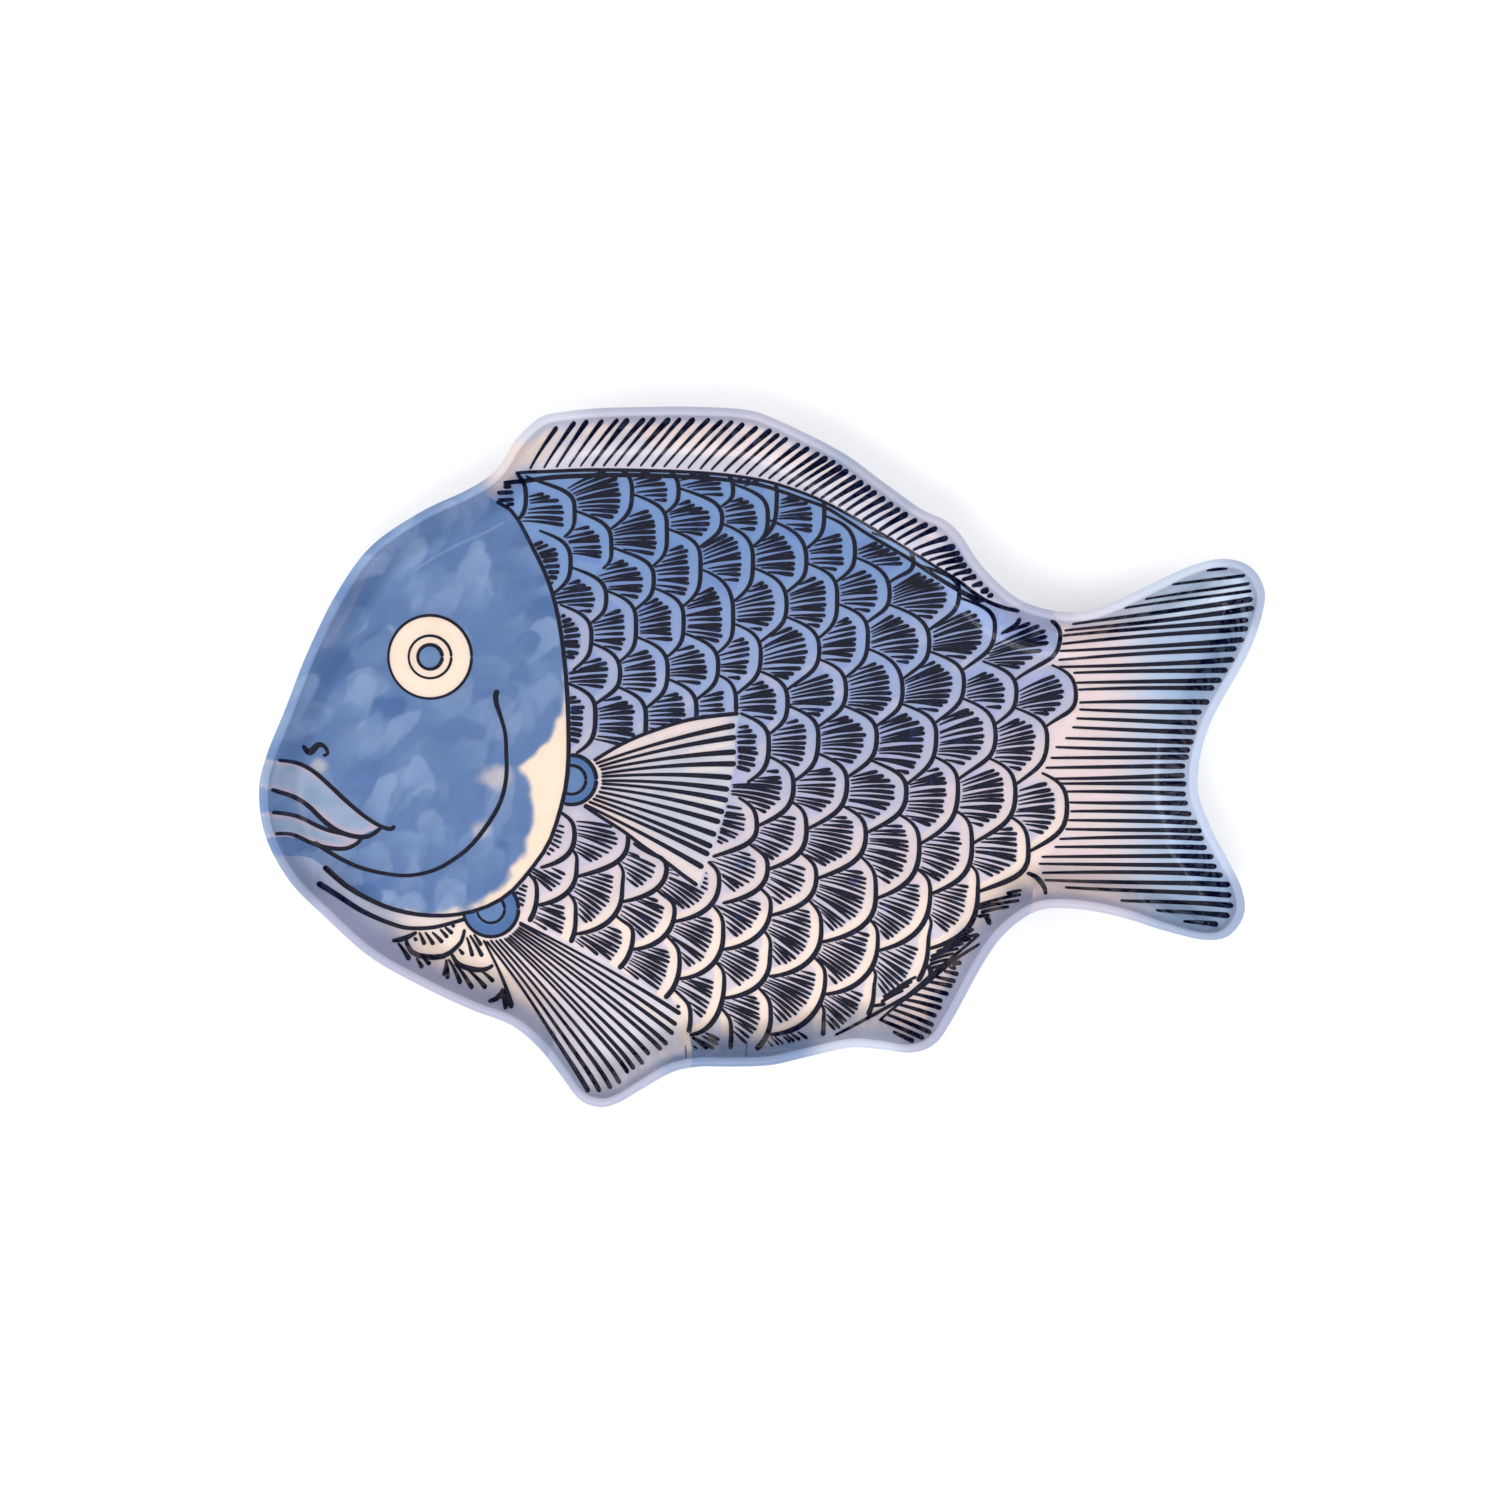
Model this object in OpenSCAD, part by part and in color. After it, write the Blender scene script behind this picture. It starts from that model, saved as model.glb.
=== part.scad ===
// Fish shaped serving platter, pressed in one piece with a printed foil under a clear glaze.
// Millimetres. X runs from the mouth to the tail, Y to the back fin, Z up.
// The origin is the middle of the platter's plan, on the surface that it stands on.

/* [Platter] */
// Length from the mouth to the tip of the tail
platter_l = 356; // [320:1:400]
// Width from the back fin to the tip of the pelvic fin
platter_w = 248; // [225:1:280]
// Height from the table to the top of the rim
platter_h = 25; // [22:0.5:32]
// Thickness of the moulding together with its foil and glaze
wall_t = 3.6; // [2.8:0.1:4.8]

/* [Wall] */
// Plan width of the sloping wall, from the rim to the flat floor
wall_run = 18; // [14:0.5:20]
// Slope of the wall where it meets the rim, in degrees
rim_slope = 58; // [45:1:68]

/* [Foot ring] */
// Height of the foot ring under the floor
foot_h = 3; // [2:0.5:3.5]
// Width of the foot ring
foot_w = 5; // [3:0.5:8]
// Least distance from the edge of the floor in to the foot ring
foot_inset = 4; // [2:0.5:8]
// Distance from the platter's middle line within which the foot ring passes the fins
foot_reach = 64; // [50:1:68]

/* [Print] */
// Thickness of the printed foil
foil_t = 0.3; // [0.2:0.05:0.5]
// Thickness of the clear glaze over the foil
glaze_t = 0.3; // [0.2:0.05:0.5]

/* [Eye] */
// Diameter of the eye
eye_d = 30; // [24:0.5:34]
// Diameter of the pupil
pupil_d = 8.6; // [6:0.2:14]

/* [Fin roots] */
// Diameter of the round root of the pectoral fin
pectoral_root_d = 17.6; // [12:0.2:22]
// Diameter of the round root of the pelvic fin
pelvic_root_d = 19.8; // [14:0.2:24]

/* [Hidden] */

// Outline from the mouth clockwise over the back: shares of the length and of the width, then the
// shares of wall_run by which the floor's edge lies in from it and on along it, round the fins' tips.
outline_shares = [
    [0.000, 0.449, 1.00, 0.00], [0.007, 0.500, 1.00, 0.00], [0.026, 0.568, 1.00, 0.00],
    [0.049, 0.652, 1.00, 0.00], [0.079, 0.738, 1.00, 0.00], [0.113, 0.803, 1.00, 0.00],
    [0.161, 0.850, 1.00, 0.00], [0.205, 0.880, 1.00, -0.05], [0.230, 0.902, 1.00, -0.15],
    [0.244, 0.926, 0.95, -0.20], [0.255, 0.952, 1.10, -0.05], [0.279, 0.984, 1.10, 0.00],
    [0.304, 0.993, 1.00, 0.20], [0.339, 0.998, 1.00, 0.05], [0.389, 1.000, 1.00, 0.00],
    [0.438, 1.000, 1.00, 0.00], [0.483, 0.996, 1.00, 0.00], [0.513, 0.983, 1.00, 0.00],
    [0.578, 0.937, 1.00, 0.00], [0.619, 0.895, 1.00, 0.00], [0.658, 0.855, 1.00, 0.00],
    [0.683, 0.838, 1.05, -0.15], [0.699, 0.816, 1.05, 0.10], [0.714, 0.783, 1.00, 0.10],
    [0.733, 0.752, 1.00, 0.00], [0.758, 0.724, 1.00, 0.00], [0.791, 0.709, 1.00, 0.00],
    [0.821, 0.708, 1.00, 0.00], [0.851, 0.722, 1.00, 0.00], [0.886, 0.746, 1.00, -0.05],
    [0.925, 0.772, 0.95, -0.30], [0.957, 0.783, 0.95, -0.40], [0.983, 0.775, 1.05, -0.20],
    [0.998, 0.749, 1.05, 0.20], [1.000, 0.716, 0.85, 0.45], [0.985, 0.650, 0.85, 0.25],
    [0.945, 0.543, 1.00, 0.00], [0.934, 0.460, 1.00, 0.00], [0.947, 0.400, 1.00, 0.00],
    [0.963, 0.356, 0.90, -0.15], [0.978, 0.311, 0.95, -0.35], [0.980, 0.275, 1.10, -0.10],
    [0.965, 0.245, 1.05, 0.30], [0.940, 0.239, 0.85, 0.55], [0.901, 0.252, 0.85, 0.40],
    [0.856, 0.272, 1.00, 0.00], [0.814, 0.283, 1.00, 0.00], [0.776, 0.281, 1.00, 0.00],
    [0.745, 0.252, 1.00, 0.00], [0.722, 0.209, 1.00, 0.05], [0.689, 0.123, 1.00, -0.10],
    [0.672, 0.090, 1.05, 0.00], [0.649, 0.078, 0.95, 0.30], [0.617, 0.083, 0.90, 0.15],
    [0.587, 0.085, 1.00, -0.10], [0.543, 0.071, 1.00, 0.00], [0.508, 0.060, 1.00, 0.00],
    [0.468, 0.058, 1.00, 0.00], [0.438, 0.058, 1.00, 0.00], [0.411, 0.050, 1.00, 0.00],
    [0.379, 0.024, 1.00, -0.25], [0.357, 0.006, 1.00, -0.35], [0.339, 0.000, 1.10, 0.00],
    [0.319, 0.011, 1.05, 0.40], [0.299, 0.048, 0.95, 0.25], [0.277, 0.087, 1.00, 0.00],
    [0.250, 0.118, 1.00, 0.00], [0.210, 0.140, 1.00, 0.00], [0.160, 0.174, 1.00, 0.00],
    [0.110, 0.215, 1.00, 0.00], [0.066, 0.271, 1.00, 0.00], [0.031, 0.322, 1.00, 0.00],
    [0.007, 0.385, 1.00, 0.00]
];
// Points on the outline for each row of outline_shares
outline_steps = 2;
// Rings of the wall from the floor to the rim
wall_rings = 4;
// How far the wall's curve leans on the floor's level and on the rim's slope
floor_lean_share = 0.55;
rim_lean_share = 0.60;
// Points on the middle line of the floor: behind the mouth, in the body, behind it and in the tail
middle_shares = [[0.24, 0.47], [0.42, 0.48], [0.62, 0.51], [0.82, 0.48]];
// Share of foot_reach that holds at each of those points
reach_shares = [1.05, 1.00, 0.92, 0.30];
// Columns on each side over which the foot ring's curve is evened out
foot_evening = 4;
// Overrun of the cutting prisms above and below what they cut
overrun = 1;

// Edges of the printed areas, as shares of the length and of the width. Where an edge leaves the
// platter, its last point lies outside the outline.
gill_shares = [
    [0.218, 0.920], [0.226, 0.875], [0.250, 0.853], [0.272, 0.796], [0.287, 0.749],
    [0.297, 0.692], [0.303, 0.624], [0.306, 0.546], [0.305, 0.474], [0.298, 0.425],
    [0.286, 0.375], [0.267, 0.336], [0.245, 0.301], [0.212, 0.278], [0.172, 0.271],
    [0.129, 0.281], [0.089, 0.309], [0.061, 0.343], [0.039, 0.358], [-0.019, 0.358]
];
back_shares = [
    [0.202, 0.895], [0.240, 0.902], [0.279, 0.912], [0.360, 0.915], [0.442, 0.910],
    [0.498, 0.900], [0.554, 0.873], [0.624, 0.818], [0.696, 0.754], [0.740, 0.715],
    [0.768, 0.725], [0.784, 0.745]
];
tail_root_shares = [
    [0.788, 0.738], [0.796, 0.667], [0.816, 0.595], [0.799, 0.524], [0.810, 0.439],
    [0.786, 0.360], [0.772, 0.318], [0.764, 0.254]
];
anal_shares = [
    [0.564, 0.033], [0.572, 0.103], [0.606, 0.128], [0.648, 0.168], [0.682, 0.207],
    [0.715, 0.246], [0.754, 0.222]
];
pectoral_shares = [
    [0.309, 0.487], [0.332, 0.496], [0.382, 0.531], [0.422, 0.551], [0.478, 0.566],
    [0.473, 0.530], [0.473, 0.490], [0.467, 0.453], [0.458, 0.406], [0.451, 0.369],
    [0.437, 0.316], [0.422, 0.325], [0.403, 0.350], [0.362, 0.392], [0.321, 0.432],
    [0.309, 0.450]
];
pelvic_shares = [
    [0.218, 0.261], [0.245, 0.189], [0.269, 0.142], [0.295, 0.104], [0.279, 0.040],
    [0.309, -0.024], [0.379, -0.024], [0.430, 0.033], [0.430, 0.083], [0.422, 0.131],
    [0.379, 0.175], [0.329, 0.218], [0.284, 0.249], [0.245, 0.279]
];
upper_lip_shares = [
    [-0.019, 0.493], [0.007, 0.496], [0.034, 0.493], [0.064, 0.466], [0.093, 0.426],
    [0.118, 0.400], [0.096, 0.386], [0.071, 0.397], [0.051, 0.422], [0.027, 0.446],
    [0.003, 0.457], [-0.019, 0.459]
];
lower_lip_shares = [
    [-0.019, 0.420], [0.004, 0.422], [0.031, 0.417], [0.057, 0.400], [0.077, 0.389],
    [0.097, 0.380], [0.083, 0.369], [0.067, 0.370], [0.047, 0.379], [0.024, 0.387],
    [0.007, 0.383], [-0.019, 0.380]
];
eye_share = [0.167, 0.644];
pectoral_root_share = [0.309, 0.467];
pelvic_root_share = [0.228, 0.281];
// How far the areas reach past the platter's ends and sides
outside_share = 0.02;
// Points on the gill, back and tail edges for each of their rows
edge_steps = 2;
// Sides of the round printed areas
round_sides = 64;

// A smooth curve through points a, b, c and d, at t between b and c
function smooth(a, b, c, d, t) =
    0.5 * (2 * b + (c - a) * t + (2 * a - 5 * b + 4 * c - d) * t * t + (3 * b - 3 * c + d - a) * t * t * t);
function closed_curve(points, steps) = [
    for (k = [0 : len(points) - 1], s = [0 : steps - 1])
        let (n = len(points))
        smooth(points[(k + n - 1) % n], points[k], points[(k + 1) % n], points[(k + 2) % n], s / steps)
];
function open_curve(points, steps) = [
    for (k = [0 : len(points) - 2], s = [0 : steps - 1])
        let (last = len(points) - 1)
        smooth(points[max(k - 1, 0)], points[k], points[k + 1], points[min(k + 2, last)], s / steps),
    points[len(points) - 1]
];

// The rows in millimetres, turned into the rim's outline, whose extremes are the stated length and width
rows_mm = [for (r = outline_shares) [r[0] * platter_l, r[1] * platter_w]];
rough_outline = closed_curve(rows_mm, outline_steps);
low_x = min([for (p = rough_outline) p[0]]);
high_x = max([for (p = rough_outline) p[0]]);
low_y = min([for (p = rough_outline) p[1]]);
high_y = max([for (p = rough_outline) p[1]]);
function centred(p) = [
    (p[0] - (low_x + high_x) / 2) * platter_l / (high_x - low_x),
    (p[1] - (low_y + high_y) / 2) * platter_w / (high_y - low_y)
];
function unit(v) = v / norm(v);
rows = [for (p = rows_mm) centred(p)];
outline = closed_curve(rows, outline_steps);

// The edge of the flat floor lies in from each row, and a little along where the walls of a fin meet
floor_rows = [
    for (k = [0 : len(rows) - 1])
        let (
            n = len(rows),
            along = unit(rows[(k + 1) % n] - rows[(k + n - 1) % n]),
            inward = [along[1], -along[0]]
        )
        rows[k] + wall_run * (outline_shares[k][2] * inward + outline_shares[k][3] * along)
];
floor_edge = closed_curve(floor_rows, outline_steps);
columns = len(outline);

// The wall's section at one column: q runs from the floor's edge out to the rim, z up.
// Depth d is measured square to the glazed surface, down into the moulding.
bead_r = wall_t / 2;
print_t = foil_t + glaze_t;
floor_z = foot_h + wall_t;
function bezier(a, b, c, d, t) =
    a * pow(1 - t, 3) + 3 * b * t * pow(1 - t, 2) + 3 * c * t * t * (1 - t) + d * pow(t, 3);
function bezier_along(a, b, c, d, t) =
    3 * (b - a) * pow(1 - t, 2) + 6 * (c - b) * t * (1 - t) + 3 * (d - c) * t * t;
function wall_poles(run) =
    let (
        rim = [run - bead_r * (1 + sin(rim_slope)), platter_h - bead_r * (1 - cos(rim_slope))],
        climb = rim[1] - floor_z
    )
    [
        [0, floor_z],
        [rim[0] * floor_lean_share, floor_z],
        rim - [rim_lean_share * climb / tan(rim_slope), rim_lean_share * climb],
        rim
    ];
function wall_point(poles, t, depth) =
    let (along = unit(bezier_along(poles[0], poles[1], poles[2], poles[3], t)))
    bezier(poles[0], poles[1], poles[2], poles[3], t) + depth * [along[1], -along[0]];
function wall_line(run, depth) =
    let (poles = wall_poles(run))
    [for (k = [0 : wall_rings]) wall_point(poles, k / wall_rings, depth)];
function backwards(list) = [for (k = [len(list) - 1 : -1 : 0]) list[k]];

// The bead closes the rim as a half circle from the glazed surface round to the underside, with a
// corner at its highest and at its outermost point, which reach the stated height and outline
function bead_line(run) = [
    for (turn = [rim_slope + 90, 90, 45, 0])
        [run - bead_r, platter_h - bead_r] + bead_r * [cos(turn), sin(turn)]
];

// A section's points at one column of the outline, in the platter's own frame
function stand(c, section) =
    let (out = unit(outline[c] - floor_edge[c]))
    [for (p = section) [floor_edge[c][0] + out[0] * p[0], floor_edge[c][1] + out[1] * p[0], p[1]]];
function layer_section(c, top, bottom) =
    let (run = norm(outline[c] - floor_edge[c]))
    stand(c, concat(wall_line(run, top), backwards(wall_line(run, bottom))));

// A place in the platter's plan, from shares of the length and of the width
function place(share) = [(share[0] - 0.5) * platter_l, (share[1] - 0.5) * platter_w];
function places(shares) = [for (share = shares) place(share)];

// The middle line of the floor, and the point on it that belongs to each column
middle_line = places(middle_shares);
function on_middle(c) =
    let (x = max(min(floor_edge[c][0], middle_line[len(middle_line) - 1][0]), middle_line[0][0]))
    [x, lookup(x, middle_line)];

// The foot ring's outer edge, by its distance from the middle line: it follows the floor's edge, and
// passes the fins within foot_reach
reach_line = [for (k = [0 : len(middle_line) - 1]) [middle_line[k][0], reach_shares[k] * foot_reach]];
foot_limits = [
    for (c = [0 : columns - 1])
        let (middle = on_middle(c))
        min(norm(floor_edge[c] - middle) - foot_inset, lookup(middle[0], reach_line))
];
foot_spread = 2 * foot_evening + 1;
foot_radii = [
    for (c = [0 : columns - 1])
        let (near = [for (k = [-foot_evening : foot_evening]) foot_limits[(c + k + columns) % columns]])
        min(foot_limits[c], near * [for (k = [1 : foot_spread]) 1 / foot_spread])
];
function foot_line(c) =
    let (
        middle = on_middle(c),
        out = unit(floor_edge[c] - middle),
        outer = middle + foot_radii[c] * out,
        inner = outer - foot_w * out
    )
    [
        [outer[0], outer[1], foot_h],
        [outer[0], outer[1], 0],
        [inner[0], inner[1], 0],
        [inner[0], inner[1], foot_h]
    ];
function body_section(c) =
    let (
        run = norm(outline[c] - floor_edge[c]),
        wall = concat(wall_line(run, print_t), bead_line(run), backwards(wall_line(run, wall_t)))
    )
    concat(stand(c, wall), foot_line(c));

// The floor is fanned from the points of the middle line, each with the columns nearest to it in X
function fan_of(c) =
    let (x = floor_edge[c % columns][0])
    len([for (k = [1 : len(middle_line) - 1]) if (x > (middle_line[k - 1][0] + middle_line[k][0]) / 2) k]);

// A closed shell through the sections, one for each column of the outline. Each section runs from the
// floor's edge over the upper side, round the rim and back in on the underside. The squares of the
// wall are split along one diagonal above and below, so that layers with a shared surface meet face
// to face.
module shell(sections) {
    count = len(sections[0]);
    fans = len(middle_line);
    first_z = sections[0][0][2];
    last_z = sections[0][count - 1][2];
    points = concat(
        [for (section = sections, p = section) p],
        [for (p = middle_line) [p[0], p[1], first_z]],
        [for (p = middle_line) [p[0], p[1], last_z]]
    );
    faces = [
        for (c = [0 : columns - 1])
            let (
                a = c * count,
                d = ((c + 1) % columns) * count,
                upper = columns * count + fan_of(c),
                upper_next = columns * count + fan_of(c + 1),
                lower = upper + fans,
                lower_next = upper_next + fans
            )
            each concat(
                [
                    for (k = [0 : count - 2])
                        each k < wall_rings
                            ? [[a + k, d + k + 1, d + k], [a + k, a + k + 1, d + k + 1]]
                            : [[a + k, a + k + 1, d + k], [d + k, a + k + 1, d + k + 1]]
                ],
                [[a, d, upper], [d + count - 1, a + count - 1, lower]],
                upper == upper_next ? [] : [[d, upper_next, upper], [d + count - 1, lower, lower_next]]
            )
    ];
    polyhedron(points, faces);
}

// One even layer of the platter between two depths under the glazed surface
module layer(top, bottom) {
    shell([for (c = [0 : columns - 1]) layer_section(c, top, bottom)]);
}

module moulded_body() {
    color([0.86, 0.87, 0.90]) shell([for (c = [0 : columns - 1]) body_section(c)]);
}

end_x = (0.5 + outside_share) * platter_l;
end_y = (0.5 + outside_share) * platter_w;

// Everything in front of the gill edge
module head_area() {
    polygon(concat(open_curve(places(gill_shares), edge_steps), [[-end_x, end_y]]));
}
module back_area() {
    edge = open_curve(places(back_shares), edge_steps);
    polygon(concat(edge, [[edge[len(edge) - 1][0], end_y], [edge[0][0], end_y]]));
}
module tail_area() {
    edge = open_curve(places(tail_root_shares), edge_steps);
    corners = [[edge[len(edge) - 1][0], -end_y], [end_x, -end_y], [end_x, end_y], [edge[0][0], end_y]];
    polygon(concat(edge, corners));
}
module anal_area() {
    edge = places(anal_shares);
    polygon(concat(edge, [[edge[len(edge) - 1][0], edge[0][1]]]));
}
module root_area(share, diameter) {
    difference() {
        translate(place(share)) circle(d = diameter, $fn = round_sides);
        head_area();
    }
}
module pectoral_root_area() {
    root_area(pectoral_root_share, pectoral_root_d);
}
module pelvic_root_area() {
    root_area(pelvic_root_share, pelvic_root_d);
}
module fin_area(shares) {
    difference() {
        polygon(places(shares));
        head_area();
        pectoral_root_area();
        pelvic_root_area();
    }
}
module lip_area(shares) {
    polygon(places(shares));
}
module eye_area(diameter) {
    translate(place(eye_share)) circle(d = diameter, $fn = round_sides);
}
module scale_area() {
    difference() {
        polygon([[-end_x, -end_y], [end_x, -end_y], [end_x, end_y], [-end_x, end_y]]);
        head_area();
        back_area();
        tail_area();
        anal_area();
        fin_area(pectoral_shares);
        fin_area(pelvic_shares);
        pectoral_root_area();
        pelvic_root_area();
    }
}

// The printed foil over the area that the children give in plan
module foil() {
    intersection() {
        layer(glaze_t, print_t);
        translate([0, 0, foot_h - overrun]) linear_extrude(platter_h - foot_h + 2 * overrun) children();
    }
}

module head_foil() {
    color([0.42, 0.55, 0.72]) foil() difference() {
        head_area();
        lip_area(upper_lip_shares);
        lip_area(lower_lip_shares);
        eye_area(eye_d);
    }
}
module upper_lip_foil() {
    color([0.66, 0.72, 0.82]) foil() lip_area(upper_lip_shares);
}
module lower_lip_foil() {
    color([0.66, 0.72, 0.82]) foil() lip_area(lower_lip_shares);
}
module eye_foil() {
    color([0.98, 0.91, 0.84]) foil() difference() {
        eye_area(eye_d);
        eye_area(pupil_d);
    }
}
module pupil_foil() {
    color([0.42, 0.55, 0.74]) foil() eye_area(pupil_d);
}
module scale_foil() {
    color([0.55, 0.60, 0.76]) foil() scale_area();
}
module dorsal_fin_foil() {
    color([0.70, 0.74, 0.84]) foil() back_area();
}
module tail_fin_foil() {
    color([0.72, 0.76, 0.85]) foil() tail_area();
}
module anal_fin_foil() {
    color([0.80, 0.78, 0.84]) foil() anal_area();
}
module pectoral_fin_foil() {
    color([0.78, 0.80, 0.87]) foil() fin_area(pectoral_shares);
}
module pectoral_root_foil() {
    color([0.38, 0.52, 0.72]) foil() pectoral_root_area();
}
module pelvic_fin_foil() {
    color([0.76, 0.78, 0.85]) foil() fin_area(pelvic_shares);
}
module pelvic_root_foil() {
    color([0.38, 0.52, 0.72]) foil() pelvic_root_area();
}

module clear_glaze() {
    color([0.80, 0.86, 0.94, 0.25]) layer(0, glaze_t);
}

moulded_body();
head_foil();
scale_foil();
dorsal_fin_foil();
tail_fin_foil();
anal_fin_foil();
pectoral_fin_foil();
pectoral_root_foil();
pelvic_fin_foil();
pelvic_root_foil();
upper_lip_foil();
lower_lip_foil();
eye_foil();
pupil_foil();
clear_glaze();
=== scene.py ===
"""Looks of the fish shaped platter: the moulding, the printed foil with its ink, and the clear glaze.

Plan positions are millimetres from the middle of the platter, X towards the tail and Y towards the
back fin, and heights are millimetres over the table. Drawn places are pixels of the photograph, and
places() turns them into plan positions.
"""
import math

import bpy
import numpy as np
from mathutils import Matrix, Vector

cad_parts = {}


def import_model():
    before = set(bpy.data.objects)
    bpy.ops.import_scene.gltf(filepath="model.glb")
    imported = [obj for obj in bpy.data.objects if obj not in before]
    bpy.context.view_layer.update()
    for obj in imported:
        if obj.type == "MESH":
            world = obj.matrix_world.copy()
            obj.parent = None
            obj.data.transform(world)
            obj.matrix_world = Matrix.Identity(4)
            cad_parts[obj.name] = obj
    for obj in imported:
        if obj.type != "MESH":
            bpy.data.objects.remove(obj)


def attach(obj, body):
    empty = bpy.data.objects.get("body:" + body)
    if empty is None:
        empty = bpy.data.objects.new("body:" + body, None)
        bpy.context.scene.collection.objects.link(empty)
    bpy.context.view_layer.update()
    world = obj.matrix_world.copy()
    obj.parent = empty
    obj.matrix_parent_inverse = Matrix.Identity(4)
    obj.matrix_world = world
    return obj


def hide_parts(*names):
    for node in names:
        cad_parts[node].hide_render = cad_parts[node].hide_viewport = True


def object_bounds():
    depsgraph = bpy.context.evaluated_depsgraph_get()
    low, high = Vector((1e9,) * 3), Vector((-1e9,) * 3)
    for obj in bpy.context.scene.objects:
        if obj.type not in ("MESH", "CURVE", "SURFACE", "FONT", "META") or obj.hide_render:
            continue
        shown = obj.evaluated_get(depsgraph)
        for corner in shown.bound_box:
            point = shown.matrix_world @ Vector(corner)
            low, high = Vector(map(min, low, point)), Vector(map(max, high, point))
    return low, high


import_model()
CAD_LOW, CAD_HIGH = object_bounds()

MM = 0.001
LENGTH = (CAD_HIGH.x - CAD_LOW.x) / MM
WIDTH = (CAD_HIGH.y - CAD_LOW.y) / MM
HEIGHT = CAD_HIGH.z / MM
# Sizes in millimetres, as the part has them
WALL_T = 3.6
WALL_RUN = 18.0
RIM_SLOPE = math.radians(58)
FOOT_H = 3.0
FOOT_W = 5.0
FOOT_INSET = 4.0
FOOT_REACH = 64.0
FOIL_T = 0.3
GLAZE_T = 0.3
PRINT_T = FOIL_T + GLAZE_T
FLOOR_Z = FOOT_H + WALL_T
BEAD_R = WALL_T / 2
UNDER_RIM = 0.1
EYE_R = 15.0
PUPIL_R = 4.3
PECTORAL_ROOT_R = 8.8
PELVIC_ROOT_R = 9.9
# Where the wall's curve has its inner poles, as shares of its run and of its climb
FLOOR_LEAN = 0.55
RIM_LEAN = 0.60

# The outline's rows as the part has them: shares of the length and width, then of the wall's run
OUTLINE = [
    [0.000, 0.449, 1.00, 0.00], [0.007, 0.500, 1.00, 0.00], [0.026, 0.568, 1.00, 0.00],
    [0.049, 0.652, 1.00, 0.00], [0.079, 0.738, 1.00, 0.00], [0.113, 0.803, 1.00, 0.00],
    [0.161, 0.850, 1.00, 0.00], [0.205, 0.880, 1.00, -0.05], [0.230, 0.902, 1.00, -0.15],
    [0.244, 0.926, 0.95, -0.20], [0.255, 0.952, 1.10, -0.05], [0.279, 0.984, 1.10, 0.00],
    [0.304, 0.993, 1.00, 0.20], [0.339, 0.998, 1.00, 0.05], [0.389, 1.000, 1.00, 0.00],
    [0.438, 1.000, 1.00, 0.00], [0.483, 0.996, 1.00, 0.00], [0.513, 0.983, 1.00, 0.00],
    [0.578, 0.937, 1.00, 0.00], [0.619, 0.895, 1.00, 0.00], [0.658, 0.855, 1.00, 0.00],
    [0.683, 0.838, 1.05, -0.15], [0.699, 0.816, 1.05, 0.10], [0.714, 0.783, 1.00, 0.10],
    [0.733, 0.752, 1.00, 0.00], [0.758, 0.724, 1.00, 0.00], [0.791, 0.709, 1.00, 0.00],
    [0.821, 0.708, 1.00, 0.00], [0.851, 0.722, 1.00, 0.00], [0.886, 0.746, 1.00, -0.05],
    [0.925, 0.772, 0.95, -0.30], [0.957, 0.783, 0.95, -0.40], [0.983, 0.775, 1.05, -0.20],
    [0.998, 0.749, 1.05, 0.20], [1.000, 0.716, 0.85, 0.45], [0.985, 0.650, 0.85, 0.25],
    [0.945, 0.543, 1.00, 0.00], [0.934, 0.460, 1.00, 0.00], [0.947, 0.400, 1.00, 0.00],
    [0.963, 0.356, 0.90, -0.15], [0.978, 0.311, 0.95, -0.35], [0.980, 0.275, 1.10, -0.10],
    [0.965, 0.245, 1.05, 0.30], [0.940, 0.239, 0.85, 0.55], [0.901, 0.252, 0.85, 0.40],
    [0.856, 0.272, 1.00, 0.00], [0.814, 0.283, 1.00, 0.00], [0.776, 0.281, 1.00, 0.00],
    [0.745, 0.252, 1.00, 0.00], [0.722, 0.209, 1.00, 0.05], [0.689, 0.123, 1.00, -0.10],
    [0.672, 0.090, 1.05, 0.00], [0.649, 0.078, 0.95, 0.30], [0.617, 0.083, 0.90, 0.15],
    [0.587, 0.085, 1.00, -0.10], [0.543, 0.071, 1.00, 0.00], [0.508, 0.060, 1.00, 0.00],
    [0.468, 0.058, 1.00, 0.00], [0.438, 0.058, 1.00, 0.00], [0.411, 0.050, 1.00, 0.00],
    [0.379, 0.024, 1.00, -0.25], [0.357, 0.006, 1.00, -0.35], [0.339, 0.000, 1.10, 0.00],
    [0.319, 0.011, 1.05, 0.40], [0.299, 0.048, 0.95, 0.25], [0.277, 0.087, 1.00, 0.00],
    [0.250, 0.118, 1.00, 0.00], [0.210, 0.140, 1.00, 0.00], [0.160, 0.174, 1.00, 0.00],
    [0.110, 0.215, 1.00, 0.00], [0.066, 0.271, 1.00, 0.00], [0.031, 0.322, 1.00, 0.00],
    [0.007, 0.385, 1.00, 0.00],
]
MIDDLE_LINE = [[0.24, 0.47], [0.42, 0.48], [0.62, 0.51], [0.82, 0.48]]
REACH = [1.05, 1.00, 0.92, 0.30]
FOOT_EVENING = 4

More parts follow.
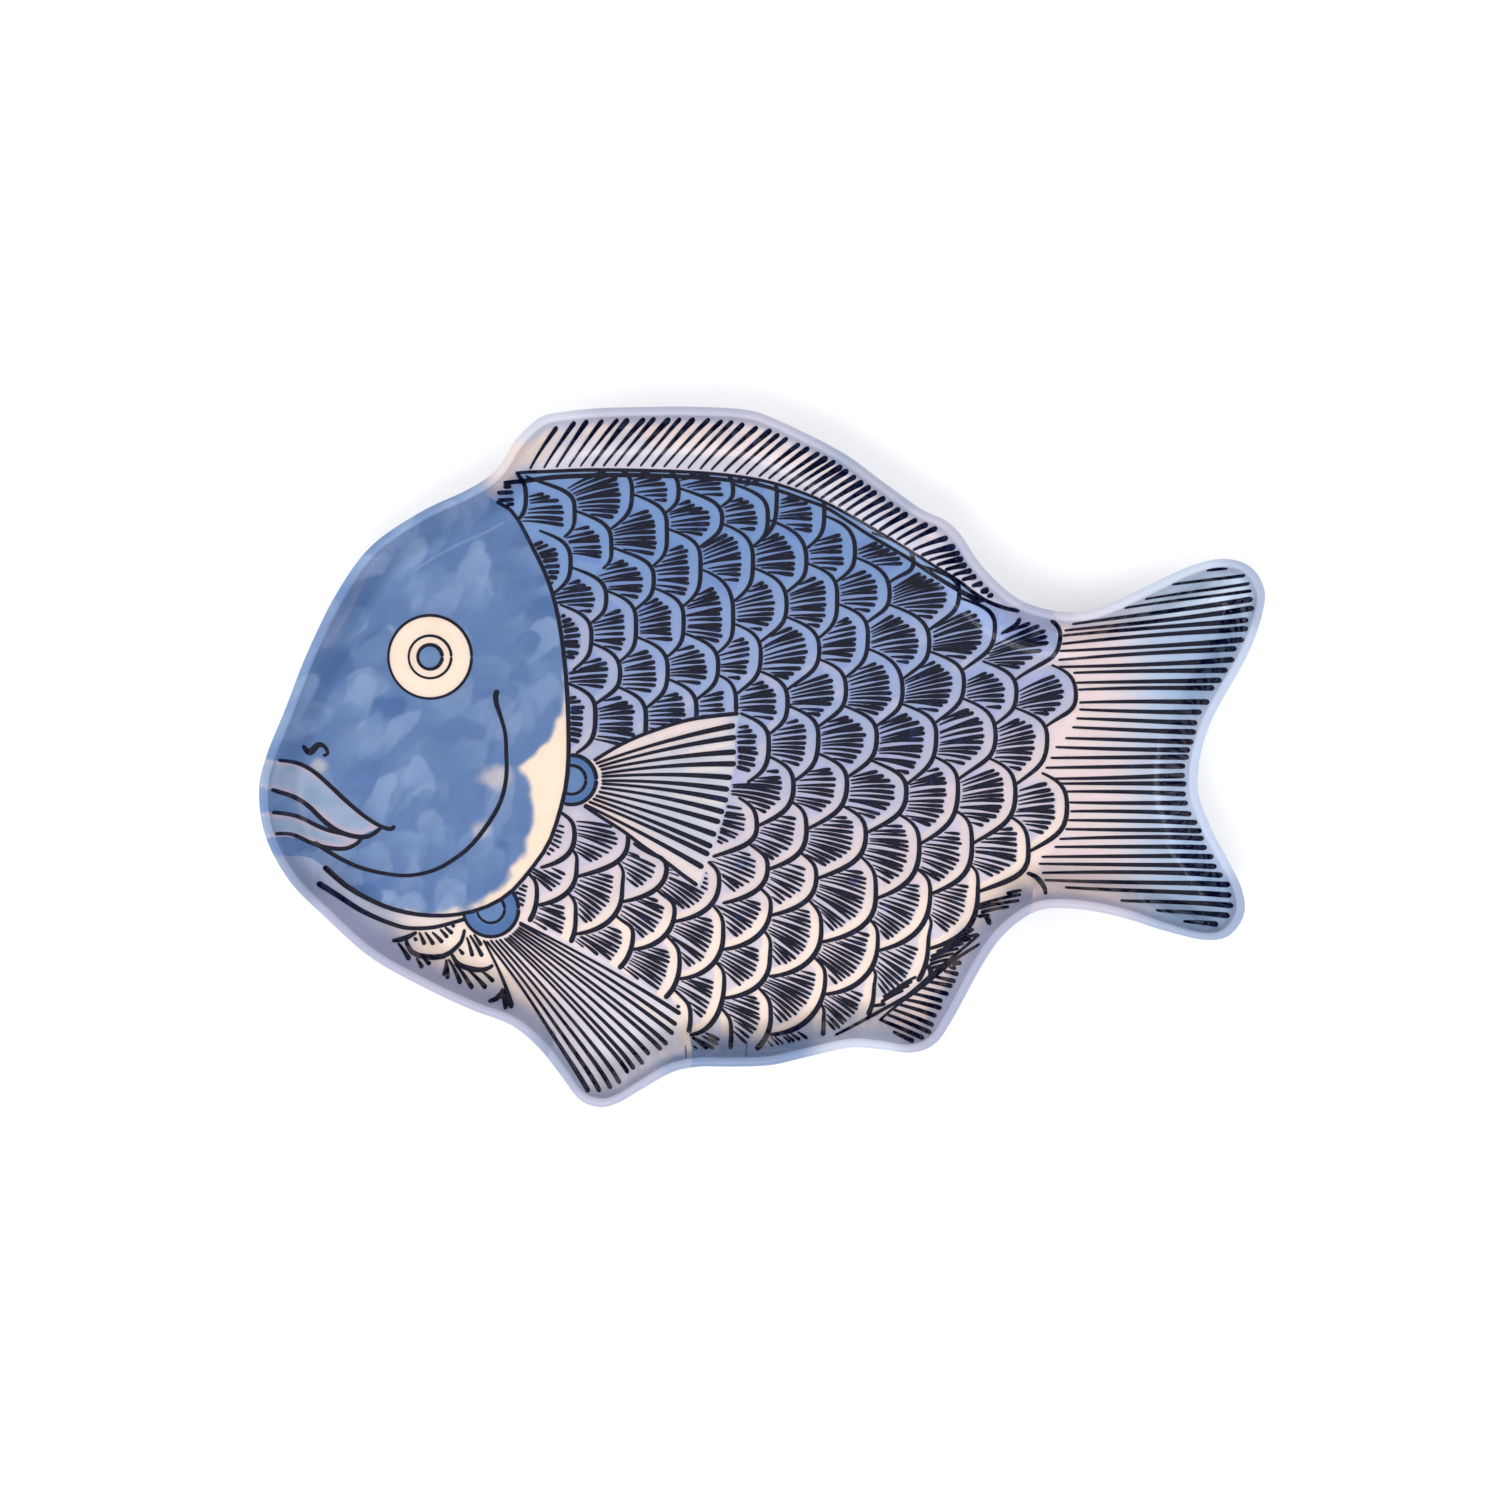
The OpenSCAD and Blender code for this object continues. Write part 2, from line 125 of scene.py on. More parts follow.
# Edges of the printed areas as the part has them, in shares of the length and width
GILL = [
    [0.218, 0.920], [0.226, 0.875], [0.250, 0.853], [0.272, 0.796], [0.287, 0.749],
    [0.297, 0.692], [0.303, 0.624], [0.306, 0.546], [0.305, 0.474], [0.298, 0.425],
    [0.286, 0.375], [0.267, 0.336], [0.245, 0.301], [0.212, 0.278], [0.172, 0.271],
    [0.129, 0.281], [0.089, 0.309], [0.061, 0.343], [0.039, 0.358], [-0.019, 0.358],
]
BACK = [
    [0.202, 0.895], [0.240, 0.902], [0.279, 0.912], [0.360, 0.915], [0.442, 0.910],
    [0.498, 0.900], [0.554, 0.873], [0.624, 0.818], [0.696, 0.754], [0.740, 0.715],
    [0.768, 0.725], [0.784, 0.745],
]
TAIL_ROOT = [
    [0.788, 0.738], [0.796, 0.667], [0.816, 0.595], [0.799, 0.524], [0.810, 0.439],
    [0.786, 0.360], [0.772, 0.318], [0.764, 0.254],
]
ANAL = [
    [0.564, 0.033], [0.572, 0.103], [0.606, 0.128], [0.648, 0.168], [0.682, 0.207],
    [0.715, 0.246], [0.754, 0.222], [0.754, 0.033],
]
PECTORAL = [
    [0.309, 0.487], [0.332, 0.496], [0.382, 0.531], [0.422, 0.551], [0.478, 0.566],
    [0.473, 0.530], [0.473, 0.490], [0.467, 0.453], [0.458, 0.406], [0.451, 0.369],
    [0.437, 0.316], [0.422, 0.325], [0.403, 0.350], [0.362, 0.392], [0.321, 0.432],
    [0.309, 0.450],
]
PELVIC = [
    [0.218, 0.261], [0.245, 0.189], [0.269, 0.142], [0.295, 0.104], [0.279, 0.040],
    [0.309, -0.024], [0.379, -0.024], [0.430, 0.033], [0.430, 0.083], [0.422, 0.131],
    [0.379, 0.175], [0.329, 0.218], [0.284, 0.249], [0.245, 0.279],
]
UPPER_LIP = [
    [-0.019, 0.493], [0.007, 0.496], [0.034, 0.493], [0.064, 0.466], [0.093, 0.426],
    [0.118, 0.400], [0.096, 0.386], [0.071, 0.397], [0.051, 0.422], [0.027, 0.446],
    [0.003, 0.457], [-0.019, 0.459],
]
LOWER_LIP = [
    [-0.019, 0.420], [0.004, 0.422], [0.031, 0.417], [0.057, 0.400], [0.077, 0.389],
    [0.097, 0.380], [0.083, 0.369], [0.067, 0.370], [0.047, 0.379], [0.024, 0.387],
    [0.007, 0.383], [-0.019, 0.380],
]
EYE = [0.167, 0.644]
PECTORAL_ROOT = [0.309, 0.467]
PELVIC_ROOT = [0.228, 0.281]
OUTSIDE = 0.02

# The photograph's pixels: the object's left and lowest pixel, and how many it spans
PHOTO_LEFT = 259
PHOTO_LOW = 1108
PHOTO_SPAN = (1006, 702)


def of_shares(shares):
    """Plan positions of shares of the length and width."""
    return (np.asarray(shares, float) - 0.5) * (LENGTH, WIDTH)


def places(pixels):
    """Plan positions of pixels of the photograph."""
    pixels = np.asarray(pixels, float)
    shares = (pixels - (PHOTO_LEFT, PHOTO_LOW)) / PHOTO_SPAN * (1, -1)
    return of_shares(shares)


def unit(vectors):
    """Vectors of length one."""
    return vectors / np.linalg.norm(vectors, axis=-1, keepdims=True)


def smooth_curve(points, steps, closed):
    """Uniform Catmull-Rom curve: 0.5 (2b + (c-a)t + (2a-5b+4c-d)t^2 + (3b-3c+d-a)t^3) from b to c."""
    points = np.asarray(points, float)
    if closed:
        a, b, c, d = (np.roll(points, k, axis=0)[:, None] for k in (1, 0, -1, -2))
    else:
        ends = np.concatenate([points[:1], points, points[-1:]])
        a, b, c, d = (ends[k:len(ends) - 3 + k][:, None] for k in range(4))
    t = (np.arange(steps) / steps)[None, :, None]
    bent = (2 * a - 5 * b + 4 * c - d) * t**2 + (3 * b - 3 * c + d - a) * t**3
    curve = (0.5 * (2 * b + (c - a) * t + bent)).reshape(-1, points.shape[1])
    return curve if closed else np.concatenate([curve, points[-1:]])


def edge_curves(steps):
    """The rim's outline, scaled to the stated length and width, and the flat floor's edge."""
    table = np.array(OUTLINE)
    rows = table[:, :2] * (LENGTH, WIDTH)
    rough = smooth_curve(rows, steps, True)
    middle = (rough.max(axis=0) + rough.min(axis=0)) / 2
    rows = (rows - middle) * (LENGTH, WIDTH) / np.ptp(rough, axis=0)
    along = unit(np.roll(rows, -1, axis=0) - np.roll(rows, 1, axis=0))
    inward = np.stack([along[:, 1], -along[:, 0]], axis=1)
    floor_rows = rows + WALL_RUN * (table[:, 2:3] * inward + table[:, 3:4] * along)
    return smooth_curve(rows, steps, True), smooth_curve(floor_rows, steps, True)


def wall_points(run, t, depth):
    """Distance from the floor's edge and height along the wall, for runs (n) and steps t (m).

    A cubic Bezier curve a(1-t)^3 + 3b t(1-t)^2 + 3c t^2(1-t) + d t^3, moved down square to itself.
    """
    rim = np.stack([
        run - BEAD_R * (1 + math.sin(RIM_SLOPE)),
        np.full_like(run, HEIGHT - BEAD_R * (1 - math.cos(RIM_SLOPE))),
    ], axis=-1)
    climb = rim[:, 1] - FLOOR_Z
    a = np.stack([np.zeros_like(run), np.full_like(run, FLOOR_Z)], axis=-1)
    b = np.stack([rim[:, 0] * FLOOR_LEAN, a[:, 1]], axis=-1)
    c = rim - np.stack([RIM_LEAN * climb / math.tan(RIM_SLOPE), RIM_LEAN * climb], axis=-1)
    a, b, c, d = (pole[:, None] for pole in (a, b, c, rim))
    t = t[None, :, None]
    points = a * (1 - t)**3 + 3 * b * t * (1 - t)**2 + 3 * c * t**2 * (1 - t) + d * t**3
    along = unit(3 * (b - a) * (1 - t)**2 + 6 * (c - b) * t * (1 - t) + 3 * (d - c) * t**2)
    return points + depth * np.stack([along[..., 1], -along[..., 0]], axis=-1)


def stand(floor_edge, out, section):
    """Space positions of sections (n, m, 2) that stand on the floor's edge and face out."""
    plan = floor_edge[:, None] + out[:, None] * section[..., :1]
    return np.concatenate([plan, section[..., 1:]], axis=-1)


class Lookup:
    """The glazed surface over a square plan grid.

    height is the surface's height, gap the distance in from the rim along the wall's sections.
    """

    PITCH = 0.5
    MARGIN = 4.0
    STEPS = 64
    WALL_STEPS = 72
    OUTSIDE_STEPS = 14
    OUTSIDE_REACH = 3.2
    FAR_IN = 30.0
    FAR_OUT = -6.0

    def __init__(self):
        outline, floor_edge = edge_curves(self.STEPS)
        span = outline - floor_edge
        run = np.linalg.norm(span, axis=1)
        wall = wall_points(run, np.linspace(0, 1, self.WALL_STEPS), 0)
        rim = wall[:, -1:]
        beyond = np.linspace(0, self.OUTSIDE_REACH, self.OUTSIDE_STEPS + 1)[1:]
        straight = rim + np.stack([beyond, beyond * math.tan(RIM_SLOPE)], axis=-1)
        section = np.concatenate([wall, straight], axis=1)
        space = stand(floor_edge, unit(span), section)
        gap = rim[..., 0] - section[..., 0]

        half = np.array([LENGTH, WIDTH]) / 2 + self.MARGIN
        self.low = -half
        self.shape = tuple(int(n) for n in np.ceil(2 * half / self.PITCH) + 1)
        inside = self.inside(floor_edge)
        self.height = self.spread(space, space[..., 2], np.where(inside, FLOOR_Z, HEIGHT))
        self.gap = self.spread(space, gap, np.where(inside, self.FAR_IN, self.FAR_OUT))
        self.slope = np.stack(np.gradient(self.height, self.PITCH), axis=-1)

    def inside(self, loop):
        """Grid points inside a closed curve, by counting its crossings along each grid line."""
        a, b = loop, np.roll(loop, -1, axis=0)
        y = self.low[1] + np.arange(self.shape[1]) * self.PITCH
        crossed = (a[:, None, 1] <= y) != (b[:, None, 1] <= y)
        side, line = np.nonzero(crossed)
        t = (y[line] - a[side, 1]) / (b[side, 1] - a[side, 1])
        x = a[side, 0] + t * (b[side, 0] - a[side, 0])
        first = np.ceil((x - self.low[0]) / self.PITCH).astype(int)
        counts = np.zeros(self.shape, int)
        np.add.at(counts, (first, line), 1)
        return np.cumsum(counts, axis=0) % 2 == 1

    def spread(self, space, value, elsewhere):
        """Grid values from samples, each carried to its nearest grid point by its own gradient."""
        across = np.gradient(space[..., :2], axis=1)
        along = (np.roll(space, -1, axis=0) - np.roll(space, 1, axis=0))[..., :2] / 2
        up_across = np.gradient(value, axis=1)
        up_along = (np.roll(value, -1, axis=0) - np.roll(value, 1, axis=0)) / 2
        area = across[..., 0] * along[..., 1] - across[..., 1] * along[..., 0]
        gx = (up_across * along[..., 1] - up_along * across[..., 1]) / area
        gy = (up_along * across[..., 0] - up_across * along[..., 0]) / area
        cell = np.rint((space[..., :2] - self.low) / self.PITCH).astype(int)
        step = self.low + cell * self.PITCH - space[..., :2]
        carried = value + gx * step[..., 0] + gy * step[..., 1]
        index = (cell[..., 0] * self.shape[1] + cell[..., 1]).ravel()
        size = self.shape[0] * self.shape[1]
        count = np.bincount(index, minlength=size)
        total = np.bincount(index, weights=carried.ravel(), minlength=size)
        mean = total / np.maximum(count, 1)
        return np.where(count > 0, mean, elsewhere.ravel()).reshape(self.shape)

    def at(self, grid, plan):
        """Values between the grid points, weighted by nearness along X and Y."""
        place = (plan - self.low) / self.PITCH
        cell = np.clip(place.astype(int), 0, np.array(self.shape) - 2)
        part = place - cell
        u, v = part[..., 0], part[..., 1]
        if grid.ndim == 3:
            u, v = u[..., None], v[..., None]
        i, j = cell[..., 0], cell[..., 1]
        low = grid[i, j] * (1 - v) + grid[i, j + 1] * v
        high = grid[i + 1, j] * (1 - v) + grid[i + 1, j + 1] * v
        return low * (1 - u) + high * u

    def drape(self, plan, depth):
        """Space positions at a depth square to the glazed surface, under or over plan positions."""
        slope = self.at(self.slope, plan)
        drop = depth * np.sqrt(1 + np.sum(slope**2, axis=-1))
        return np.concatenate([plan, (self.at(self.height, plan) - drop)[..., None]], axis=-1)


surface = Lookup()

# A point nearer than this to the edge of a cut counts as just inside, and a shorter side as this long
JUST_IN = 1e-6
SHORTEST_SIDE = 1e-6
# How far the plan grid goes past the platter's box
GRID_MARGIN = 1


def signed_distance(plan, polygon):
    """Distance of plan positions in from a polygon's sides, negative outside it."""
    nearest = np.full(len(plan), np.inf)
    crossings = np.zeros(len(plan), int)
    for a, b in zip(polygon, np.roll(polygon, -1, axis=0)):
        side = b - a
        share = np.clip((plan - a) @ side / max(side @ side, SHORTEST_SIDE**2), 0, 1)
        nearest = np.minimum(nearest, np.sum((plan - a - share[:, None] * side)**2, axis=1))
        if a[1] != b[1]:
            x = a[0] + (plan[:, 1] - a[1]) / (b[1] - a[1]) * side[0]
            crossings += ((a[1] <= plan[:, 1]) != (b[1] <= plan[:, 1])) & (plan[:, 0] < x)
    return np.where(crossings % 2 == 1, 1, -1) * np.sqrt(nearest)


def cut(plan, faces, value):
    """The part of a triangle mesh where value, given for each point, is above zero."""
    value = np.where(np.abs(value) < JUST_IN, JUST_IN, value)
    inside = value > 0
    count = inside[faces].sum(axis=1)
    mixed = (count == 1) | (count == 2)
    some = faces[mixed]
    single = count[mixed] == 1
    turn = np.argmax(inside[some] == single[:, None], axis=1)
    a, b, c = (some[np.arange(len(some)), (turn + k) % 3] for k in range(3))
    pairs = np.concatenate([np.stack([a, b], axis=1), np.stack([a, c], axis=1)])
    pairs, where = np.unique(np.sort(pairs, axis=1), axis=0, return_inverse=True)
    i, j = pairs.T
    share = value[i] / (value[i] - value[j])
    crossing = plan[i] + share[:, None] * (plan[j] - plan[i])
    ab, ac = where.reshape(2, -1) + len(plan)
    triangles = np.concatenate([
        faces[count == 3],
        np.stack([a, ab, ac], axis=1)[single],
        np.stack([ab, b, c], axis=1)[~single],
        np.stack([ab, c, ac], axis=1)[~single],
    ])
    used, triangles = np.unique(triangles, return_inverse=True)
    return np.concatenate([plan, crossing])[used], triangles.reshape(-1, 3)


def plan_grid(pitch):
    """Triangles of a square grid over the whole platter, cut just past the rim."""
    half = np.array([LENGTH, WIDTH]) / 2 + GRID_MARGIN
    nx, ny = (int(n) for n in np.ceil(2 * half / pitch) + 1)
    x, y = np.meshgrid(np.arange(nx) * pitch - half[0], np.arange(ny) * pitch - half[1], indexing="ij")
    plan = np.stack([x.ravel(), y.ravel()], axis=1)
    i, j = np.meshgrid(np.arange(nx - 1), np.arange(ny - 1), indexing="ij")
    a = (i * ny + j).ravel()
    faces = np.concatenate([
        np.stack([a, a + ny, a + ny + 1], axis=1),
        np.stack([a, a + ny + 1, a + 1], axis=1),
    ])
    return cut(plan, faces, surface.at(surface.gap, plan) + UNDER_RIM)


# Meshes
SHARP = math.radians(40)


def make_mesh(name, points, face_sets):
    """A mesh of points in millimetres and arrays of faces, each array with one number of corners."""
    mesh = bpy.data.meshes.new(name)
    mesh.vertices.add(len(points))
    mesh.vertices.foreach_set("co", (points * MM).astype(np.float32).ravel())
    corners = np.concatenate([faces.ravel() for faces in face_sets])
    sizes = np.concatenate([np.full(len(faces), faces.shape[1]) for faces in face_sets])
    mesh.loops.add(len(corners))
    mesh.loops.foreach_set("vertex_index", corners.astype(np.int32))
    mesh.polygons.add(len(sizes))
    mesh.polygons.foreach_set("loop_start", np.concatenate([[0], np.cumsum(sizes)[:-1]]).astype(np.int32))
    mesh.update(calc_edges=True)
    mesh.validate()
    mesh.shade_smooth()
    return mesh


def add_piece(mesh, material, replaced=()):
    """An object of the platter: it rides on the root body and stands for the CAD nodes named."""
    piece = bpy.data.objects.new(mesh.name, mesh)
    bpy.context.scene.collection.objects.link(piece)
    mesh.materials.append(material)
    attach(piece, "root")
    if replaced:
        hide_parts(*replaced)
    return piece


def loft(name, sections):
    """A closed shell through sections (n, m, 3) round the platter, with a flat face at each end."""
    columns, count = sections.shape[:2]
    a = np.arange(columns)[:, None] * count + np.arange(count - 1)
    d = np.roll(a, -1, axis=0)
    quads = np.stack([a, d, d + 1, a + 1], axis=-1).reshape(-1, 4)
    first = (np.arange(columns) * count)[None, ::-1]
    last = (np.arange(columns) * count + count - 1)[None]
    mesh = make_mesh(name, sections.reshape(-1, 3), [quads, first, last])
    mesh.set_sharp_from_angle(angle=SHARP)
    return mesh


def layer(name, plan, faces, top, bottom):
    """A closed skin over a plan mesh between two depths, with custom normals on its upper side."""
    count = len(plan)
    edges = np.concatenate([faces[:, [0, 1]], faces[:, [1, 2]], faces[:, [2, 0]]])
    open_edges = edges[~np.isin(edges[:, 0] * count + edges[:, 1], edges[:, 1] * count + edges[:, 0])]
    a, b = open_edges.T
    sides = np.stack([a, a + count, b + count, b], axis=1)
    points = np.concatenate([surface.drape(plan, top), surface.drape(plan, bottom)])
    mesh = make_mesh(name, points, [faces, faces[:, ::-1] + count, sides])
    slope = surface.at(surface.slope, plan)
    up = unit(np.concatenate([-slope, np.ones((count, 1))], axis=1))
    normals = np.zeros((len(mesh.loops), 3))
    normals[:faces.size] = up[faces.ravel()]
    normals[faces.size:2 * faces.size] = -up[faces[:, ::-1].ravel()]
    mesh.normals_split_custom_set(normals)
    return mesh


# Body and glaze
COLUMN_STEPS = 16
OUTLINE_STEPS = 2
RINGS = 22
BEAD_STEPS = 16
FOOT_ROUND = 1.0
FOOT_ROUND_STEPS = 5
TUCK = 0.15


def foot_ring(steps):
    """Outer and inner edge of the foot ring, worked out as the part does it and then smoothed."""
    floor_edge = edge_curves(OUTLINE_STEPS)[1]
    line = of_shares(MIDDLE_LINE)
    x = np.clip(floor_edge[:, 0], line[0, 0], line[-1, 0])
    middle = np.stack([x, np.interp(x, line[:, 0], line[:, 1])], axis=1)
    span = floor_edge - middle
    reach = np.interp(x, line[:, 0], np.array(REACH) * FOOT_REACH)
    limit = np.minimum(np.linalg.norm(span, axis=1) - FOOT_INSET, reach)
    near = range(-FOOT_EVENING, FOOT_EVENING + 1)
    radius = np.minimum(limit, np.mean([np.roll(limit, k) for k in near], axis=0))
    outer = middle + radius[:, None] * unit(span)
    inner = outer - FOOT_W * unit(span)
    return smooth_curve(outer, steps, True), smooth_curve(inner, steps, True)


def body_sections():
    """The moulding's sections: under the print, round the bead, back in, and over the foot ring."""
    outline, floor_edge = edge_curves(COLUMN_STEPS)
    span = outline - floor_edge
    run = np.linalg.norm(span, axis=1)
    t = np.linspace(0, 1, RINGS)
    turn = np.linspace(RIM_SLOPE + math.pi / 2, RIM_SLOPE - math.pi / 2, BEAD_STEPS)
    bead = np.stack([
        run[:, None] - BEAD_R + BEAD_R * np.cos(turn),
        np.broadcast_to(HEIGHT - BEAD_R + BEAD_R * np.sin(turn), (len(run), BEAD_STEPS)),
    ], axis=-1)
    upper = wall_points(run, t, PRINT_T)
    lower = wall_points(run, t[-2::-1], WALL_T)
    skin = stand(floor_edge, unit(span), np.concatenate([upper, bead, lower], axis=1))
    outer, inner = foot_ring(COLUMN_STEPS // OUTLINE_STEPS)
    quarter = np.linspace(0, math.pi / 2, FOOT_ROUND_STEPS)
    round_share = FOOT_ROUND / FOOT_W * (1 - np.cos(quarter))
    round_z = FOOT_ROUND * (1 - np.sin(quarter))
    share = np.concatenate([[0], round_share, 1 - round_share[::-1], [1]])
    z = np.concatenate([[FOOT_H], round_z, round_z[::-1], [FOOT_H]])
    ring = outer[:, None] + share[None, :, None] * (inner - outer)[:, None]
    foot = np.concatenate([ring, np.broadcast_to(z[None, :, None], ring.shape[:2] + (1,))], axis=-1)
    return np.concatenate([skin, foot], axis=1)


def glaze_sections():
    """The glaze's sections: its face, and its underside just inside the foil."""
    outline, floor_edge = edge_curves(COLUMN_STEPS)
    span = outline - floor_edge
    run = np.linalg.norm(span, axis=1)
    t = np.linspace(0, 1, RINGS)
    face, underside = wall_points(run, t, 0), wall_points(run, t[::-1], GLAZE_T + TUCK)
    return stand(floor_edge, unit(span), np.concatenate([face, underside], axis=1))


# Ink strokes, whose tops lie over the foil and under the glaze's face
INK_TOP = 0.22
INK_SPREAD = 0.05
INK_BOTTOM = 0.42
# All half widths are drawn this much wider than they are given
INK_WEIGHT = 1.25
# Each stroke's top lies lower than the last one's by this share of the spread, and after a whole spread
# it starts again, so that strokes that cross have no top in common
TOP_SHIFT = 0.618
BLUNT_END = 0.25
CURVE_STEPS = 8


def resample(line, half, count, ends=False):
    """Points evenly along a line, or closer together near its ends, with their half widths."""
    steps = np.linalg.norm(np.diff(line, axis=0), axis=1)
    place = np.concatenate([[0], np.cumsum(steps)])
    share = np.linspace(0, 1, count)
    if ends:
        share = 0.5 - 0.5 * np.cos(math.pi * share)
    half = np.broadcast_to(half, len(line))
    points = np.stack([np.interp(share * place[-1], place, line[:, k]) for k in (0, 1)], axis=1)
    return points, np.interp(share * place[-1], place, half)


def ribbons(name, strokes, stations):
    """A mesh of closed strips, one for each stroke: pairs of a plan line and its half widths.

    A strip's sides are its line moved aside by the half width h, which near an end becomes
    h sqrt(1 - n^2), where n grows from 0 to 1 over the last h of the line.
    """
    resampled = [resample(np.asarray(line), half, stations, True) for line, half in strokes]
    line = np.stack([points for points, _ in resampled])
    half = INK_WEIGHT * np.stack([widths for _, widths in resampled])
    length = np.cumsum(np.linalg.norm(np.diff(line, axis=1, prepend=line[:, :1]), axis=2), axis=1)
    to_end = np.minimum(length, length[:, -1:] - length)
    nearness = np.clip(1 - to_end / half, 0, 1)
    half = half * np.maximum(np.sqrt(1 - nearness**2), BLUNT_END)
    side = unit(np.gradient(line, axis=1) @ np.array([[0, 1], [-1, 0]]))
    left = line + half[..., None] * side
    right = line - half[..., None] * side
    count = len(strokes)
    top = INK_TOP + INK_SPREAD * (np.arange(count) * TOP_SHIFT % 1)[:, None, None]
    drop = (0, 0, 1) * (INK_TOP - top)
    corners = np.stack([
        surface.drape(left, INK_TOP) + drop, surface.drape(right, INK_TOP) + drop,
        surface.drape(right, INK_BOTTOM), surface.drape(left, INK_BOTTOM),
    ], axis=2)
    index = np.arange(corners[..., 0].size).reshape(count, stations, -1)
    a, b = index[:, :-1], index[:, 1:]
    quads = np.stack([a, np.roll(a, -1, axis=2), np.roll(b, -1, axis=2), b], axis=-1).reshape(-1, 4)
    caps = np.concatenate([index[:, 0, ::-1], index[:, -1]])
    mesh = make_mesh(name, corners.reshape(-1, 3), [quads, caps])
    mesh.set_sharp_from_angle(angle=SHARP)
    return mesh


def pixel_mm(pixels):
    """A length in pixels of the photograph as millimetres."""
    return np.asarray(pixels) * LENGTH / PHOTO_SPAN[0]


def widths(*pixels):
    """A function from a line to half widths that change evenly through the given ones, in pixels."""
    share = np.linspace(0, 1, len(pixels))
    return lambda line: pixel_mm(np.interp(np.linspace(0, 1, len(line)), share, pixels))


def drawn(pixels, *half):
    """A smooth stroke through pixels of the photograph, with half widths in pixels."""
    line = smooth_curve(places(pixels), CURVE_STEPS, False)
    return line, widths(*half)(line)


rng = np.random.default_rng(7)

# Scales: the rightmost point of each, in pixels. The last ones lie against the tail
SCALES = np.array([
    (524, 491), (573, 504), (569, 558), (590, 633), (594, 711), (605, 595), (610, 538), (619, 672),
    (631, 487), (635, 619), (645, 716), (653, 575), (666, 521), (667, 667), (678, 487), (683, 616),
    (696, 708), (700, 556), (718, 663), (722, 515), (733, 487), (733, 612), (736, 704), (753, 556),
    (761, 652), (768, 511), (777, 489), (787, 602), (788, 700), (769, 741), (807, 558), (825, 507),
    (820, 648), (856, 548), (838, 591), (869, 632), (891, 592), (915, 560), (931, 640), (961, 591),
    (966, 680), (997, 626), (1020, 617), (847, 688), (904, 690), (819, 735), (878, 735), (938, 733),
    (998, 735), (794, 786), (848, 783), (908, 791), (960, 787), (807, 832), (867, 836), (921, 848),
    (974, 848), (817, 879), (877, 899), (932, 895), (980, 893), (822, 934), (879, 945), (930, 945),
    (826, 981), (875, 994), (824, 1025), (573, 836), (575, 871), (535, 895), (627, 842), (666, 869),
    (621, 893), (574, 922), (674, 912), (632, 936), (719, 883), (679, 965), (723, 938), (690, 1020),
    (724, 984), (731, 1041), (757, 828), (768, 869), (771, 908), (770, 963), (771, 1020), (1019, 690),
    (1062, 638), (1079, 695), (1050, 737), (1018, 793), (1070, 807), (1031, 856),
], float)
LAST_SCALES = 7
# From a scale's rightmost point to the scales above, below and before it, along its own axes
UPPER_NEIGHBOUR = (-32, -35)
LOWER_NEIGHBOUR = (-18, 46)
ROW_NEIGHBOUR = (-49, 5)
NEIGHBOUR_REACH = 28
CORNER = (12, 3)
CORNER_REACH = 14
ARC_STEPS = 14
EVEN_POINTS = 33
ROUNDNESS = 0.57
SCALE_TURN = math.radians(33)
TURN_LEVELS = (690, 930)
# How much sooner a row turns before its middle column, and later behind it
MIDDLE_COLUMN = 800
SOONER = 0.12
LATER = 0.2
# Degrees and pixels that change down the body, each a list of levels and one of values
LEAVE_TURN = ((700, 830, 910), (20, 28, 46))
ARRIVE_TURN = ((700, 830, 930), (37, 18, 3))
START_DROP = ((560, 700, 780, 900, 1000), (6, 18, 26, 20, 26))
START_OVER = ((840, 910), (30, 19))
END_DROP = ((640, 740, 830, 880, 930, 1020), (-11, -3, 2, 10, 16, 18))
FAN_REACH = ((640, 740, 830, 900), (96, 108, 112, 104))
FAN_TURN = ((640, 740, 830, 900), (-12, -4, 14, 26))
HATCH_PITCH = ((740, 860), (5.5, 4.9))
ARC_WEIGHT = ((660, 800), (0.8, 0.95))
# Lower and upper ends of the edges that stop at a fin or at the gill line
LOWER_ENDS = {
    (757, 828): (712, 858), (573, 836): (538, 869), (1020, 617): (1003, 633), (768, 869): (722, 905),
    (573, 504): (562, 535), (610, 538): (601, 567),
}
UPPER_STARTS = {(1070, 807): (1044, 773), (1079, 695): (1054, 664)}
RIM_WIDTH = 11.5
RIM_FALL = 0.42
ARC_HALF = (1.2, 1.9, 2.3, 2.3, 1.4)
HATCH_HALF_ABOVE = (0.6, 1.0, 1.4, 1.9, 1.7)
HATCH_HALF_BELOW = (0.5, 0.9, 1.4, 1.6, 1.0)
HATCH_LEVELS = (740, 860)
HATCH_STEPS = 24
HATCH_SHORTEST = 5
HATCH_LENGTH = 62
HATCH_SPILL = 14
# Ranges from which each stroke draws its place, its end, its bow and its weight
HATCH_PLACE = (-0.13, 0.13)
HATCH_END = (-1.6, 1.2)
HATCH_BOW = (0.01, 0.05)
HATCH_THICK = (0.85, 1.12)
VEIN = 1.6
BEFORE_REACH = 90
BEFORE_STEP = 6


def soft_step(value, low, high):
    """0 below low, 1 above high, and 3t^2 - 2t^3 between them."""
    t = np.clip((value - low) / (high - low), 0, 1)
    return t * t * (3 - 2 * t)


def down_level(point):
    """How far down the body a scale lies: its row turns sooner by the gill and later by the tail."""
    ahead = MIDDLE_COLUMN - point[0]
    return point[1] + SOONER * max(0, ahead) - LATER * max(0, -ahead)


def heading(degrees):
    """A direction in pixels, with 0 to the right and 90 down."""
    return np.array([math.cos(math.radians(degrees)), math.sin(math.radians(degrees))])


